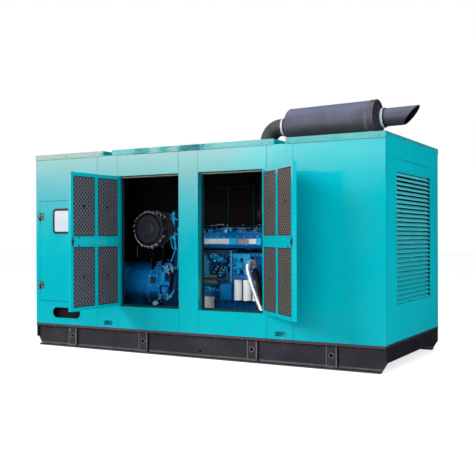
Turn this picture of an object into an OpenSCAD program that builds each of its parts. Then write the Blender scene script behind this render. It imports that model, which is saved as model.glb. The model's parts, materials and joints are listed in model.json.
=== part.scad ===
// Silenced diesel generator set: a skid, a sheet-metal canopy with hinged doors,
// the engine and alternator inside it, and a silencer on the roof.
// Millimetres, +Z up. Origin: middle of the base, on the ground.
// +X runs along the base towards the radiator, -Y is the side with the open doors.

/* [Base frame] */
// Length of the base and of the canopy on it
base_length = 4810; // [4700:10:5200]
// Width of the base and of the canopy on it
base_width = 2000; // [1950:10:2200]
// Height of the base, from the ground to the deck
base_height = 290; // [260:5:340]
// Depth of the channel beams, from the outer face to the back of the web
beam_depth = 57; // [50:1:75]
// Thickness of the beams' webs
beam_web_t = 12; // [8:1:20]
// Thickness of the beams' top flanges
beam_top_t = 34; // [16:1:40]
// Thickness of the beams' foot flanges
beam_foot_t = 20; // [12:1:30]
// Thickness of the plates that close the base's two ends
end_plate_t = 12; // [8:1:20]
// Distance of the end plates' edges behind the beams' faces
end_plate_inset = 10; // [5:1:20]
// Height of the end plates' lower edge above the ground
end_lift = 108; // [60:1:140]
// Length of the slope under each end of the beams
end_slope = 65; // [40:5:120]
// Width of each cross member
cross_w = 80; // [60:5:120]
// Distance of the outer cross members from the ends of the base
cross_inset = 600; // [400:10:800]
// Thickness of the deck plate
deck_t = 8; // [5:1:12]
// Width of a lashing lug
lug_w = 115; // [80:5:140]
// Thickness of a lug's face plate
lug_t = 14; // [10:1:20]
// Thickness of a lug's side gussets
lug_gusset_t = 10; // [6:1:16]
// Distance of a lug's face behind the flanges' edge
lug_setback = 15; // [5:1:25]
// Diameter of the hole in a lug
lug_hole_d = 46; // [30:1:60]
// Height of the lug holes above the ground
lug_hole_z = 150; // [120:5:180]
// Distance of the outer lugs from the ends of the base
lug_end_inset = 610; // [400:5:700]
// Distance of the inner left lug from the middle of the base
lug_left_x = 678; // [500:5:800]
// Distance of the inner right lug from the middle of the base
lug_right_x = 835; // [600:5:1000]
// Diameter of the earthing hole in each web
earth_hole_d = 26; // [16:1:40]
// Distance of the earthing hole to the right of the middle
earth_hole_x = 130; // [100:5:400]
// Height of the earthing hole above the ground
earth_hole_z = 80; // [60:5:140]

/* [Canopy] */
// Height of the roof's top above the ground
canopy_height = 2500; // [2450:10:2700]
// Thickness of the lined walls
wall_t = 60; // [40:5:75]
// Depth of the posts, sills and headers around the door bays
frame_depth = 100; // [80:5:120]
// Width of the panel at the control end
control_w = 1042; // [1020:2:1100]
// Width of each lifting column
lift_column_w = 322; // [280:2:360]
// Width of each door bay
bay_w = 904; // [860:2:940]
// Width of the column between the two door bays
centre_w = 270; // [250:5:320]
// Height of the door bays' sills above the deck
sill_h = 270; // [250:5:300]
// Height of the wall above the bays
header_h = 258; // [240:2:290]
// How far the door stops reach into the openings
stop_lip = 24; // [15:1:40]
// Distance of the door stops behind the front face
stop_depth = 80; // [70:1:90]
// Width of the pocket at the foot of each lifting column
pocket_w = 130; // [100:5:160]
// Height of the pocket
pocket_h = 54; // [40:1:70]
// Depth of the pocket
pocket_depth = 75; // [50:5:75]
// Height of the pocket's floor above the deck
pocket_lift = 28; // [20:1:40]

/* [Control bay] */
// Distance of the control door from the end of the canopy
control_door_inset = 88; // [80:1:100]
// Width of the control door
control_door_w = 862; // [820:2:890]
// Height of the control door
control_door_h = 1299; // [1200:1:1330]
// Height of the control door's lower edge above the deck
control_door_lift = 299; // [280:1:320]
// Thickness of the control door
control_door_t = 25; // [20:1:30]
// How far the control door stands proud of the wall
control_door_proud = 6; // [3:1:9]
// Gap around the control door
control_door_gap = 6; // [6:1:9]
// Length of the cable slot
slot_len = 451; // [300:1:500]
// Height of the cable slot
slot_h = 123; // [80:1:140]
// Distance of the cable slot from the end of the canopy
slot_inset = 295; // [200:5:320]
// Height of the cable slot's lower edge above the deck
slot_lift = 87; // [60:1:100]
// Width of the control door's window
window_w = 404; // [300:2:440]
// Height of the control door's window
window_h = 292; // [240:2:320]
// Radius of the window's corners
window_r = 40; // [20:1:60]
// Height of the window's lower edge above the control door's lower edge
window_lift = 891; // [820:1:920]
// Width of the rubber gasket on the door around the window
gasket_w = 18; // [12:1:24]
// How far the gasket laps over the pane
gasket_lap = 10; // [6:1:14]
// Thickness of the gasket in front of the door
gasket_t = 5; // [3:1:8]
// Thickness of the window pane
pane_t = 6; // [4:1:8]
// Distance of the control door's hinges from its lower and upper edges
control_hinge_inset = 200; // [150:5:240]
// Depth of the control cabinet
cabinet_depth = 260; // [200:10:300]
// Height of the control cabinet
cabinet_h = 1290; // [1100:10:1350]
// Height of the control cabinet's legs
cabinet_leg_h = 360; // [300:10:400]
// Width of the control cabinet
cabinet_w = 740; // [600:10:800]
// Distance of the control cabinet from the end wall's inner face
cabinet_inset = 90; // [60:5:120]
// Distance of the control cabinet behind the front wall's inner face
cabinet_setback = 40; // [30:5:60]
// Width of each cabinet leg
cabinet_leg_w = 45; // [30:1:60]

/* [Louvres] */
// Width of each bank of louvres
louvre_w = 1280; // [1000:10:1500]
// Height of the lowest louvre above the deck
louvre_lift = 400; // [300:5:450]
// Distance from one louvre to the next
louvre_pitch = 49; // [44:1:52]
// Number of louvres in each bank
louvre_count = 29; // [10:1:31]
// Thickness of a louvre's sheet
louvre_t = 5; // [3:1:8]
// Depth of a louvre
louvre_depth = 44; // [30:1:50]
// How far the louvres' outer edges lie behind the wall's face
louvre_set = 2; // [1:1:6]
// Rise of a louvre from its outer to its inner edge
louvre_rise = 34; // [24:1:38]

/* [Roof] */
// Height of the roof caps' front and back flanges
roof_flange_h = 70; // [50:5:90]
// Thickness of the roof caps
roof_t = 30; // [20:1:40]
// How far the roof caps stand proud of the walls
roof_lip = 4; // [2:1:8]
// Width of the gap between roof caps
roof_gap = 155; // [120:5:180]
// Thickness of the channel that closes each gap
channel_t = 6; // [4:1:10]

/* [Bay doors] */
// Gap around a closed door
door_gap = 7; // [5:1:10]
// How far a closed door stands proud of the wall
door_proud = 3; // [2:1:6]
// Thickness of a door
door_t = 42; // [36:1:50]
// Thickness of the door's outer skin behind the liners
door_skin_t = 12; // [6:1:16]
// Width of the bars around a door's inner face
door_bar_w = 42; // [35:1:60]
// Width of the door's upright middle bar
door_mid_bar_w = 56; // [40:1:100]
// Height of the band across the middle of the door
door_band_h = 125; // [100:5:150]
// Depth of the liner's face behind the bars' faces
liner_recess = 6; // [4:1:12]
// Fitting gap around the liners
liner_gap = 0.3; // [0.2:0.1:1]
// How far the left door stands open
left_open = 90; // [80:1:130]
// How far the right door stands open
right_open = 137.5; // [100:0.5:145]
// Distance of the doors' upper and lower hinges from their edges
hinge_inset = 200; // [150:5:260]

/* [Hinges] */
// Radius of the hinge pins
pin_r = 5; // [4:0.5:6]
// Radial clearance of the hinge pins
pin_clear = 0.3; // [0.2:0.1:0.5]
// Outer radius of the hinge knuckles
knuckle_r = 9; // [8:0.5:10]
// Height of one hinge knuckle
knuckle_h = 50; // [30:1:60]
// Gap between the fixed and the moving knuckle
knuckle_gap = 1; // [0.5:0.5:2]
// Distance of a hinge pin from the door's edge and from its outer face
hinge_offset = 10; // [9.5:0.5:11]
// Thickness of the hinge straps
strap_t = 4; // [3:0.5:5]
// Length of the hinge straps
strap_len = 46; // [30:1:60]

/* [Door locks] */
// Width of a bay door's outer handle
handle_w = 70; // [50:2:90]
// Height of a bay door's outer handle
handle_h = 180; // [120:5:220]
// Thickness of a bay door's outer handle
handle_t = 14; // [8:1:20]
// Distance of the handles from the doors' free edges
handle_inset = 42; // [30:1:60]
// Width of the latch case inside a bay door
latch_w = 30; // [20:1:36]
// Height of the latch case
latch_h = 50; // [36:2:80]
// Depth of the latch case
latch_t = 14; // [8:1:20]
// Distance of the latch case from the door's free edge
latch_inset = 6; // [6:1:20]

/* [Alternator] */
// Height of the shaft above the deck
shaft_h = 455; // [445:5:480]
// Distance of the coupling face to the left of the middle of the base
coupling_x = 845; // [800:5:900]
// Radius of the alternator's smooth body
alternator_r = 330; // [300:5:345]
// Radius of the alternator's ribbed drive end
drive_end_r = 366; // [350:2:375]
// Length of the ribbed drive end
drive_end_len = 220; // [180:5:260]
// Length of the smooth body
alternator_len = 650; // [550:10:700]
// Radius of the rear bracket
rear_bracket_r = 285; // [240:5:295]
// Length of the rear bracket
rear_bracket_len = 70; // [50:5:90]
// Depth of the rings around the drive end
ring_depth = 10; // [5:1:14]
// Height of the two rails under the set
rail_h = 80; // [60:5:90]
// Width of each rail
rail_w = 100; // [80:5:120]
// Distance of the rails' outer faces from the middle
rail_y = 330; // [300:5:350]
// Width of the alternator's feet
foot_w = 90; // [60:5:100]

/* [Engine] */
// Length of the flywheel housing
flywheel_len = 235; // [200:5:260]
// Radius of the flywheel housing
flywheel_r = 345; // [320:5:360]
// Thickness of the flywheel housing's flanges
flange_t = 20; // [12:1:30]
// How far the flanges stand out
flange_out = 22; // [10:1:30]
// Length of the engine block
block_len = 1410; // [1350:10:1450]
// Half width of the crankcase
crankcase_y = 300; // [270:5:320]
// Height of the crankcase's lower face above the deck
crankcase_lift = 330; // [310:5:350]
// Height of the crankcase's upper face above the deck
crankcase_top = 610; // [580:5:650]
// Half width of the cylinder block
cylinder_y = 250; // [220:5:265]
// Height of the cylinder block's upper face above the deck
cylinder_top = 960; // [930:5:990]
// Half width of the cylinder heads
head_y = 230; // [200:5:240]
// Height of the heads' upper face above the deck
head_top = 1180; // [1150:5:1200]
// Number of cylinders, each with its own cover
cylinders = 6; // [4:1:6]
// Height of the valve covers
cover_h = 80; // [60:5:140]
// Half width of the valve covers
cover_y = 170; // [140:5:190]
// Gap between neighbouring valve covers
cover_gap = 45; // [20:5:60]
// Height of the intake and exhaust manifolds
manifold_h = 160; // [120:5:180]
// Width of the intake manifold, out from the heads
intake_w = 205; // [160:5:230]
// Width of the exhaust manifold, out from the heads
exhaust_w = 200; // [160:5:230]
// Gap between the valve covers and the exhaust box over them
exhaust_box_gap = 80; // [50:5:110]
// Height of the exhaust box under the riser
exhaust_box_h = 120; // [80:5:150]
// Distance of the manifolds from the block's ends
manifold_inset = 120; // [60:10:200]
// Height of the oil pan
pan_h = 190; // [150:5:220]
// Half width of the oil pan
pan_y = 220; // [180:5:225]
// Distance of the oil pan from the block's ends
pan_inset = 90; // [50:5:150]
// Length of the gear case at the block's front
gear_case_len = 90; // [60:5:120]
// Radius of the crankshaft pulley
pulley_r = 140; // [110:5:160]
// Length of the crankshaft pulley
pulley_len = 60; // [40:5:80]

/* [Engine fittings] */
// Left edge of the oil cooler, to the right of the middle of the base
cooler_x = 250; // [200:5:300]
// Distance of the first oil filter from the oil cooler's left edge
oil_filter_start = 140; // [100:5:180]
// Length of the oil cooler
cooler_len = 450; // [400:5:480]
// Thickness of the oil cooler's housing
cooler_t = 100; // [80:5:120]
// Height of the oil cooler's lower face above the deck
cooler_lift = 640; // [620:5:660]
// Height of the oil cooler
cooler_h = 285; // [250:5:300]
// Number of oil filters
oil_filters = 3; // [2:1:3]
// Radius of an oil filter
oil_filter_r = 50; // [40:1:54]
// Length of an oil filter
oil_filter_len = 250; // [200:5:260]
// Distance from one oil filter to the next
oil_filter_pitch = 126; // [115:1:130]
// Radius of the fuel filter
fuel_filter_r = 60; // [45:1:65]
// Length of the fuel filter
fuel_filter_len = 190; // [150:5:200]
// Distance of the fuel filter to the left of the middle of the base
fuel_filter_x = 17; // [0:1:60]
// Height of the fuel filter's head above the deck
fuel_head_lift = 400; // [390:5:420]
// Height of the filter heads
filter_head_h = 55; // [40:1:60]
// Distance of the filters' axes in front of the engine's middle
filter_y = 500; // [490:5:520]
// Radius of the silver pipe beside the filters
pipe_r = 31; // [26:1:36]
// Radius of the riser pipe behind the flywheel housing
riser_r = 34; // [25:1:45]
// Distance of the riser pipe in front of the engine's middle
riser_y = 220; // [180:5:260]
// Height of the bracket at the riser pipe's top
riser_bracket_h = 60; // [40:5:80]
// Height of the riser pipe's top above the deck
riser_top = 1450; // [1350:10:1500]

/* [Air cleaner] */
// Radius of the air cleaner's drum
drum_r = 200; // [170:5:205]
// Length of the drum
drum_len = 400; // [340:10:420]
// How far the drum's rims stand out
drum_rim = 26; // [10:1:30]
// Width of the drum's rims
drum_rim_w = 26; // [18:1:36]
// Distance of the drum's second rim behind its front face
drum_rim_back = 165; // [120:5:200]
// Height of the drum's axis above the deck
drum_h = 1227; // [1180:5:1240]
// Distance of the drum's axis to the left of the middle of the base
drum_x = 953; // [940:1:975]
// Distance of the drum's front face in front of the middle
drum_front = 480; // [460:5:520]
// Depth of the drum's domed cap
drum_cap_t = 20; // [10:1:40]
// Thickness of the drum's cradle plates
cradle_t = 30; // [20:5:40]
// Width of the drum's cradle
cradle_w = 170; // [140:10:176]
// Width of the bars of the drum's bracket
bracket_w = 16; // [12:1:30]
// Distance of the drum's bracket to the left of the drum's axis
bracket_x = 185; // [150:1:188]
// Distance of the bracket's upright in front of the middle
bracket_y = 440; // [420:5:450]
// Height of the bracket's arm above the deck
bracket_lift = 878; // [840:1:900]

/* [Radiator] */
// Distance of the radiator's front to the right of the middle of the base
radiator_x = 1090; // [1070:5:1120]
// Thickness of the radiator
radiator_t = 200; // [150:5:240]
// Gap between the radiator and the frames on either side
radiator_side_gap = 40; // [20:5:100]
// Gap between the radiator and the top of the walls
radiator_top_gap = 140; // [100:10:250]
// Radius of the fan shroud
shroud_r = 600; // [500:10:640]
// Length of the fan shroud
shroud_len = 110; // [80:5:120]
// Thickness of the fan shroud
shroud_t = 12; // [8:1:20]

/* [Exhaust] */
// Radius of the exhaust pipe
exhaust_r = 105; // [95:1:110]
// Thickness of the tail pipe's wall
exhaust_wall = 5; // [3:1:8]
// Distance of the riser to the right of the middle of the base
exhaust_x = 553; // [540:1:570]
// Radius of the elbow's centre line
elbow_r = 180; // [170:5:190]
// Length of the straight after the elbow
elbow_straight = 47; // [20:1:60]
// Height of the weld bead around the elbow's end
weld_t = 1; // [0.5:0.5:3]
// Width of the weld bead
weld_w = 12; // [8:1:20]
// Upward tilt of the silencer and the tail pipe, in degrees
exhaust_tilt = 0.9; // [0:0.1:2]
// Height of the silencer's axis above the roof
silencer_h = 270; // [250:5:300]
// Radius of the silencer
silencer_r = 213; // [195:1:230]
// Length of the silencer's straight body
silencer_len = 1125; // [1000:5:1200]
// Height of the lips at the body's two ends
silencer_lip = 6; // [3:1:10]
// Width of the lips
silencer_lip_w = 16; // [8:1:24]
// Length of the silencer's cone at the elbow
inlet_cone = 58; // [30:1:80]
// Length of the silencer's cone at the tail pipe
outlet_cone = 42; // [30:1:80]
// Length of the pipe stubs on the silencer
stub_len = 24; // [20:1:40]
// Length of the tail pipe along its top
tail_len = 420; // [350:2:460]
// How much shorter the tail pipe is along its underside
tail_cut = 185; // [100:1:210]
// Width of the pipe clamps
clamp_w = 27; // [20:1:36]
// Thickness of the pipe clamps
clamp_t = 9; // [6:1:14]
// Width of the silencer's straps
strap_w = 42; // [30:1:60]
// Thickness of the silencer's straps
saddle_strap_t = 5; // [3:1:8]
// Width of the silencer's saddles along Y
saddle_w = 300; // [220:10:360]
// Distance of the saddles from the silencer's ends
saddle_inset = 50; // [40:5:200]
// Radius of the rain collar around the riser
collar_r = 165; // [140:5:180]
// Thickness of the rain collar
collar_t = 6; // [4:1:10]

/* [Hidden] */
$fn = 64;
fit = 0.3;      // gap around round pieces that are seated in others
cut = 1;        // how far a cut runs past the face it opens

end_x = base_length / 2;
front_y = -base_width / 2;
deck_z = base_height;
roof_z = canopy_height;
wall_top = roof_z - roof_flange_h;
web_back = front_y + beam_depth;
web_front = web_back - beam_web_t;
wall_in = front_y + wall_t;
frame_in = front_y + frame_depth;
lug_xs = [-end_x + lug_end_inset, -lug_left_x, lug_right_x, end_x - lug_end_inset];

// the front is divided into panels, from the control end to the radiator end
panel_x1 = -end_x + control_w;
panel_x2 = panel_x1 + lift_column_w;
panel_x3 = panel_x2 + bay_w;
panel_x4 = panel_x3 + centre_w;
panel_x5 = panel_x4 + bay_w;
panel_x6 = panel_x5 + lift_column_w;
lift_xs = [(panel_x1 + panel_x2) / 2, (panel_x5 + panel_x6) / 2];
bay_z = [deck_z + sill_h, wall_top - header_h];
bay_h = bay_z[1] - bay_z[0];
left_bay = [panel_x2, panel_x3];
right_bay = [panel_x4, panel_x5];

// a bay door in its own frame: hinge pin at the origin, closed, running along +X
leaf_x = [hinge_offset, hinge_offset + bay_w - 2 * door_gap];
leaf_y = [hinge_offset, hinge_offset + door_t];
leaf_z = [bay_z[0] + door_gap, bay_z[1] - door_gap];
leaf_mid_x = (leaf_x[0] + leaf_x[1]) / 2;
leaf_mid_z = (bay_z[0] + bay_z[1]) / 2;
liner_xs = [[leaf_x[0] + door_bar_w, leaf_mid_x - door_mid_bar_w / 2],
            [leaf_mid_x + door_mid_bar_w / 2, leaf_x[1] - door_bar_w]];
liner_zs = [[leaf_z[0] + door_bar_w, leaf_mid_z - door_band_h / 2],
            [leaf_mid_z + door_band_h / 2, leaf_z[1] - door_bar_w]];
leaf_stand = hinge_offset + door_proud;
left_pin = [left_bay[0] + door_gap - hinge_offset, front_y - leaf_stand];
right_pin = [right_bay[1] - door_gap + hinge_offset, front_y - leaf_stand];
leaf_hinge_zs = [leaf_z[0] + hinge_inset, leaf_mid_z, leaf_z[1] - hinge_inset];

// the control door in its own frame, as a bay door
control_x = [hinge_offset, hinge_offset + control_door_w];
control_z = [deck_z + control_door_lift, deck_z + control_door_lift + control_door_h];
control_y = [hinge_offset, hinge_offset + control_door_t];
control_stand = hinge_offset + control_door_proud;
control_pin = [-end_x + control_door_inset - hinge_offset, front_y - control_stand];
control_hole_x = [control_pin[0] + control_x[0] - control_door_gap,
                  control_pin[0] + control_x[1] + control_door_gap];
control_hole_z = [control_z[0] - control_door_gap, control_z[1] + control_door_gap];
control_hinge_zs = [control_z[0] + control_hinge_inset, control_z[1] - control_hinge_inset];
window_x = (control_x[0] + control_x[1]) / 2;
window_z = control_z[0] + window_lift + window_h / 2;

// the running gear stands on two rails on the deck
shaft_z = deck_z + shaft_h;
rail_z = deck_z + rail_h;
drive_x = [-coupling_x - drive_end_len, -coupling_x];
body_x = [drive_x[0] - alternator_len, drive_x[0]];
flywheel_x = [-coupling_x, -coupling_x + flywheel_len];
block_x = [flywheel_x[1], flywheel_x[1] + block_len];
manifold_x = [block_x[0] + manifold_inset, block_x[1] - manifold_inset];
manifold_z = [deck_z + head_top - manifold_h, deck_z + head_top];
cover_pitch = block_len / cylinders;
cooler_z = [deck_z + cooler_lift, deck_z + cooler_lift + cooler_h];
cooler_face = -crankcase_y - cooler_t;
oil_filter_x = cooler_x + oil_filter_start;
fuel_z = deck_z + fuel_head_lift;
drum_y = [-drum_front, -drum_front + drum_len];
drum_z = deck_z + drum_h;

radiator_y = -frame_in - radiator_side_gap;
radiator_z = [deck_z, wall_top - radiator_top_gap];

// the exhaust rises through the roof and turns towards the radiator end; past
// the elbow it has its own frame, tilted, with its origin at the elbow's centre
silencer_z = roof_z + silencer_h;
silencer_x = [elbow_straight + stub_len + inlet_cone,
              elbow_straight + stub_len + inlet_cone + silencer_len];
tail_x = silencer_x[1] + outlet_cone + stub_len;
saddle_xs = [silencer_x[0] + saddle_inset, silencer_x[1] - saddle_inset];
exhaust_box_z = [deck_z + head_top + cover_h + exhaust_box_gap,
                 deck_z + head_top + cover_h + exhaust_box_gap + exhaust_box_h];

// route of the silver pipe, from the oil cooler's face over and down to the deck
pipe_route = [[604, cooler_face, 1004], [604, cooler_face - 24, 1004], [603, -442, 1010],
              [602, -456, 1024], [600, -464, 1052], [597, -476, 1088], [593, -502, 1110],
              [588, -536, 1116], [583, -568, 1104], [579, -590, 1078], [577, -596, 1050],
              [580, -600, 1010], [606, -605, 942], [635, -605, 860], [672, -605, 767],
              [708, -605, 674], [752, -605, 581], [771, -605, 540], [818, -605, 440],
              [865, -605, 340]];

paint = [0.05, 0.67, 0.70];
skid_grey = [0.20, 0.20, 0.22];
engine_blue = [0.05, 0.33, 0.62];
black = [0.06, 0.06, 0.07];
exhaust_grey = [0.27, 0.27, 0.30];
steel = [0.75, 0.76, 0.78];

// ---- shapes that repeat ----

// a block between two planes in each direction
module slab(x, y, z) {
    translate([x[0], y[0], z[0]]) cube([x[1] - x[0], y[1] - y[0], z[1] - z[0]]);
}

// a round bar along X
module rod_x(r, x, y, z) {
    translate([x[0], y, z]) rotate([0, 90, 0]) cylinder(r = r, h = x[1] - x[0]);
}

// a round bar along Y
module rod_y(r, x, y, z) {
    translate([x, y[0], z]) rotate([-90, 0, 0]) cylinder(r = r, h = y[1] - y[0]);
}

// a round bar along Z
module rod_z(r, x, y, z) {
    translate([x, y, z[0]]) cylinder(r = r, h = z[1] - z[0]);
}

// a YZ outline drawn out along X
module along_x(x) {
    translate([x[0], 0, 0]) rotate([90, 0, 90]) linear_extrude(x[1] - x[0]) children();
}

// an XZ outline drawn out along Y
module along_y(y) {
    translate([0, y[1], 0]) rotate([90, 0, 0]) linear_extrude(y[1] - y[0]) children();
}

// a rectangle with round corners, centred
module round_rect(w, h, r) {
    square([w - 2 * r, h], center = true);
    square([w, h - 2 * r], center = true);
    for (x = [-1, 1], y = [-1, 1])
        translate([x * (w / 2 - r), y * (h / 2 - r)]) circle(r);
}

// the same shape on the back of the canopy
module on_back() {
    mirror([0, 1, 0]) children();
}

// a round tube of sides sides swept along points
function unit(v) = v / norm(v);
function tangent(p, i) = unit(p[min(i + 1, len(p) - 1)] - p[max(i - 1, 0)]);
module swept_tube(p, r, sides = 12) {
    ref = [0, 1, 0.01];
    rings = [for (i = [0 : len(p) - 1])
        let (t = tangent(p, i), a = unit(cross(t, ref)), b = cross(t, a))
        for (k = [0 : sides - 1]) p[i] + r * (cos(360 * k / sides) * a + sin(360 * k / sides) * b)];
    last = (len(p) - 1) * sides;
    walls = [for (i = [0 : len(p) - 2], k = [0 : sides - 1], half = [0, 1])
        let (n = (k + 1) % sides, a = i * sides, b = a + sides)
        half == 0 ? [a + k, a + n, b + n] : [a + k, b + n, b + k]];
    ends = [[for (k = [sides - 1 : -1 : 0]) k], [for (k = [0 : sides - 1]) last + k]];
    polyhedron(points = rings, faces = concat(walls, ends));
}

// ---- base frame ----

module beam() {
    difference() {
        along_x([-end_x, end_x])
            polygon([[front_y, 0], [front_y, beam_foot_t], [web_front, beam_foot_t],
                     [web_front, deck_z - beam_top_t], [front_y, deck_z - beam_top_t],
                     [front_y, deck_z], [web_back, deck_z], [web_back, 0]]);
        for (side = [-1, 1])
            along_y([front_y - cut, web_back + cut])
                polygon([[side * (end_x - end_slope), 0], [side * end_x, end_lift],
                         [side * (end_x + cut), end_lift], [side * (end_x + cut), -cut],
                         [side * (end_x - end_slope), -cut]]);
        rod_y(earth_hole_d / 2, earth_hole_x, [web_front - cut, web_back + cut], earth_hole_z);
    }
}

module skid_beam_front() {
    color(skid_grey) beam();
}

module skid_beam_back() {
    color(skid_grey) on_back() beam();
}

module skid_cross_members() {
    color(skid_grey)
        for (i = [-2 : 2])
            translate([i * (end_x - cross_inset) / 2, 0, 0])
                slab([-cross_w / 2, cross_w / 2], [web_back, -web_back], [0, deck_z - deck_t]);
}

// at each end a plate between the beams and one in each beam's recess
module skid_end_plates() {
    recess_y = [front_y + end_plate_inset, web_front];
    color(skid_grey)
        for (x = [[-end_x, -end_x + end_plate_t], [end_x - end_plate_t, end_x]]) {
            slab(x, [web_back, -web_back], [end_lift, deck_z]);
            slab(x, recess_y, [end_lift, deck_z - beam_top_t]);
            on_back() slab(x, recess_y, [end_lift, deck_z - beam_top_t]);
        }
}

// a face plate with a hole, between the beam's flanges, and a gusset on each side
module lugs() {
    lug_z = [beam_foot_t, deck_z - beam_top_t];
    face = front_y + lug_setback;
    for (x = lug_xs)
        difference() {
            union() {
                slab([x - lug_w / 2, x + lug_w / 2], [face, face + lug_t], lug_z);
                for (side = [x - lug_w / 2, x + lug_w / 2 - lug_gusset_t])
                    slab([side, side + lug_gusset_t], [face, web_front], lug_z);
            }
            rod_y(lug_hole_d / 2, x, [face - cut, face + lug_t + cut], lug_hole_z);
        }
}

module skid_lugs() {
    color(skid_grey) {
        lugs();
        on_back() lugs();
    }
}

module deck_plate() {
    color(skid_grey)
        slab([-end_x + end_plate_t, end_x - end_plate_t], [web_back, -web_back],
             [deck_z - deck_t, deck_z]);
}

// ---- canopy walls ----

module control_bay_posts() {
    color(paint)
        for (x = [[-end_x, control_hole_x[0]], [control_hole_x[1], panel_x1]])
            slab(x, [front_y, wall_in], [deck_z, wall_top]);
}

module control_bay_header() {
    color(paint) slab(control_hole_x, [front_y, wall_in], [control_hole_z[1], wall_top]);
}

module control_bay_sill() {
    slot_r = slot_h / 2;
    slot_x = [-end_x + slot_inset + slot_r, -end_x + slot_inset + slot_len - slot_r];
    slot_z = deck_z + slot_lift;
    slot_y = [front_y - cut, wall_in + cut];
    color(paint)
        difference() {
            slab(control_hole_x, [front_y, wall_in], [deck_z, control_hole_z[0]]);
            slab(slot_x, slot_y, [slot_z, slot_z + slot_h]);
            for (x = slot_x) rod_y(slot_r, x, slot_y, slot_z + slot_r);
        }
}

module lifting_column(i) {
    x = lift_xs[i];
    pocket_z = deck_z + pocket_lift;
    difference() {
        slab([x - lift_column_w / 2, x + lift_column_w / 2], [front_y, frame_in], [deck_z, wall_top]);
        slab([x - pocket_w / 2, x + pocket_w / 2], [front_y - cut, front_y + pocket_depth],
             [pocket_z, pocket_z + pocket_h]);
    }
}

module lifting_column_left() {
    color(paint) lifting_column(0);
}

module lifting_column_right() {
    color(paint) lifting_column(1);
}

module centre_column() {
    color(paint) slab([panel_x3, panel_x4], [front_y, frame_in], [deck_z, wall_top]);
}

module bay_sills() {
    color(paint)
        for (x = [[panel_x2, panel_x3], [panel_x4, panel_x5]])
            slab(x, [front_y, frame_in], [deck_z, bay_z[0]]);
}

module bay_headers() {
    color(paint)
        for (x = [[panel_x2, panel_x3], [panel_x4, panel_x5]])
            slab(x, [front_y, frame_in], [bay_z[1], wall_top]);
}

// the frames that the closed doors rest against, behind the openings' edges
module stops() {
    for (bay = [left_bay, right_bay])
        along_y([front_y + stop_depth, frame_in])
            difference() {
                translate([bay[0], bay_z[0]]) square([bay_w, bay_h]);
                translate([bay[0] + stop_lip, bay_z[0] + stop_lip])
                    square([bay_w - 2 * stop_lip, bay_h - 2 * stop_lip]);
            }
}

module door_stops() {
    color(paint) stops();
}

module radiator_side_panel() {
    color(paint) slab([panel_x6, end_x], [front_y, wall_in], [deck_z, wall_top]);
}

module back_panels() {
    color(paint)
        on_back()
            for (x = [[-end_x, panel_x1, wall_in], [panel_x3, panel_x4, frame_in],
                      [panel_x6, end_x, wall_in]])
                slab([x[0], x[1]], [front_y, x[2]], [deck_z, wall_top]);
}

module back_lifting_columns() {
    color(paint) on_back() for (i = [0, 1]) lifting_column(i);
}

// sill, header and door stop of each bay, in one piece
module back_bay_frames() {
    color(paint)
        on_back() {
            stops();
            for (bay = [left_bay, right_bay], z = [[deck_z, bay_z[0]], [bay_z[1], wall_top]])
                slab(bay, [front_y, frame_in], z);
        }
}

module back_doors() {
    color(paint)
        on_back() {
            translate(left_pin) leaf();
            translate(right_pin) mirror([1, 0, 0]) leaf();
        }
}

module back_door_hinges() {
    color(black) on_back() bay_hinges();
}

// an end wall with a bank of louvres, each slat low at its outer edge
module louvred_wall() {
    louvre_z = deck_z + louvre_lift;
    first_z = louvre_z + (louvre_pitch - louvre_rise - louvre_t) / 2;
    difference() {
        slab([end_x - wall_t, end_x], [wall_in, -wall_in], [deck_z, roof_z - roof_t]);
        slab([end_x - wall_t - cut, end_x + cut], [-louvre_w / 2, louvre_w / 2],
             [louvre_z, louvre_z + louvre_count * louvre_pitch]);
    }
    for (i = [0 : louvre_count - 1])
        along_y([-louvre_w / 2 - cut, louvre_w / 2 + cut])
            translate([end_x - louvre_set, first_z + i * louvre_pitch])
                polygon([[0, 0], [0, louvre_t], [-louvre_depth, louvre_rise + louvre_t],
                         [-louvre_depth, louvre_rise]]);
}

module control_end_wall() {
    color(paint) mirror([1, 0, 0]) louvred_wall();
}

module radiator_end_wall() {
    color(paint) louvred_wall();
}

// ---- roof ----

// a flat cap with a flange down the front and the back
module roof_cap(x) {
    side = base_width / 2 + roof_lip;
    inner = base_width / 2 - wall_t;
    along_x(x)
        polygon([[-side, wall_top], [-side, roof_z], [side, roof_z], [side, wall_top],
                 [inner, wall_top], [inner, roof_z - roof_t],
                 [-inner, roof_z - roof_t], [-inner, wall_top]]);
}

module roof_control_end() {
    color(paint) roof_cap([-end_x - roof_lip, lift_xs[0] - roof_gap / 2]);
}

module roof_middle() {
    color(paint)
        difference() {
            roof_cap([lift_xs[0] + roof_gap / 2, lift_xs[1] - roof_gap / 2]);
            rod_z(exhaust_r + fit, exhaust_x, 0, [roof_z - roof_t - cut, roof_z + cut]);
        }
}

module roof_radiator_end() {
    color(paint) roof_cap([lift_xs[1] + roof_gap / 2, end_x + roof_lip]);
}

module roof_channels() {
    outer = roof_gap / 2;
    inner = outer - channel_t;
    top = roof_z - channel_t;
    color(paint)
        for (x = lift_xs)
            along_y([front_y, -front_y])
                translate([x, 0])
                    polygon([[-outer, wall_top], [-outer, top], [-inner, top],
                             [-inner, wall_top + channel_t], [inner, wall_top + channel_t],
                             [inner, top], [outer, top], [outer, wall_top]]);
}

// ---- hinges, in the frame of their pin ----

module moving_knuckle(z) {
    difference() {
        union() {
            rod_z(knuckle_r, 0, 0, [z, z + knuckle_h]);
            slab([0, strap_len], [hinge_offset - strap_t, hinge_offset], [z, z + knuckle_h]);
        }
        rod_z(pin_r + pin_clear, 0, 0, [z - cut, z + knuckle_h + cut]);
    }
}

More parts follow.
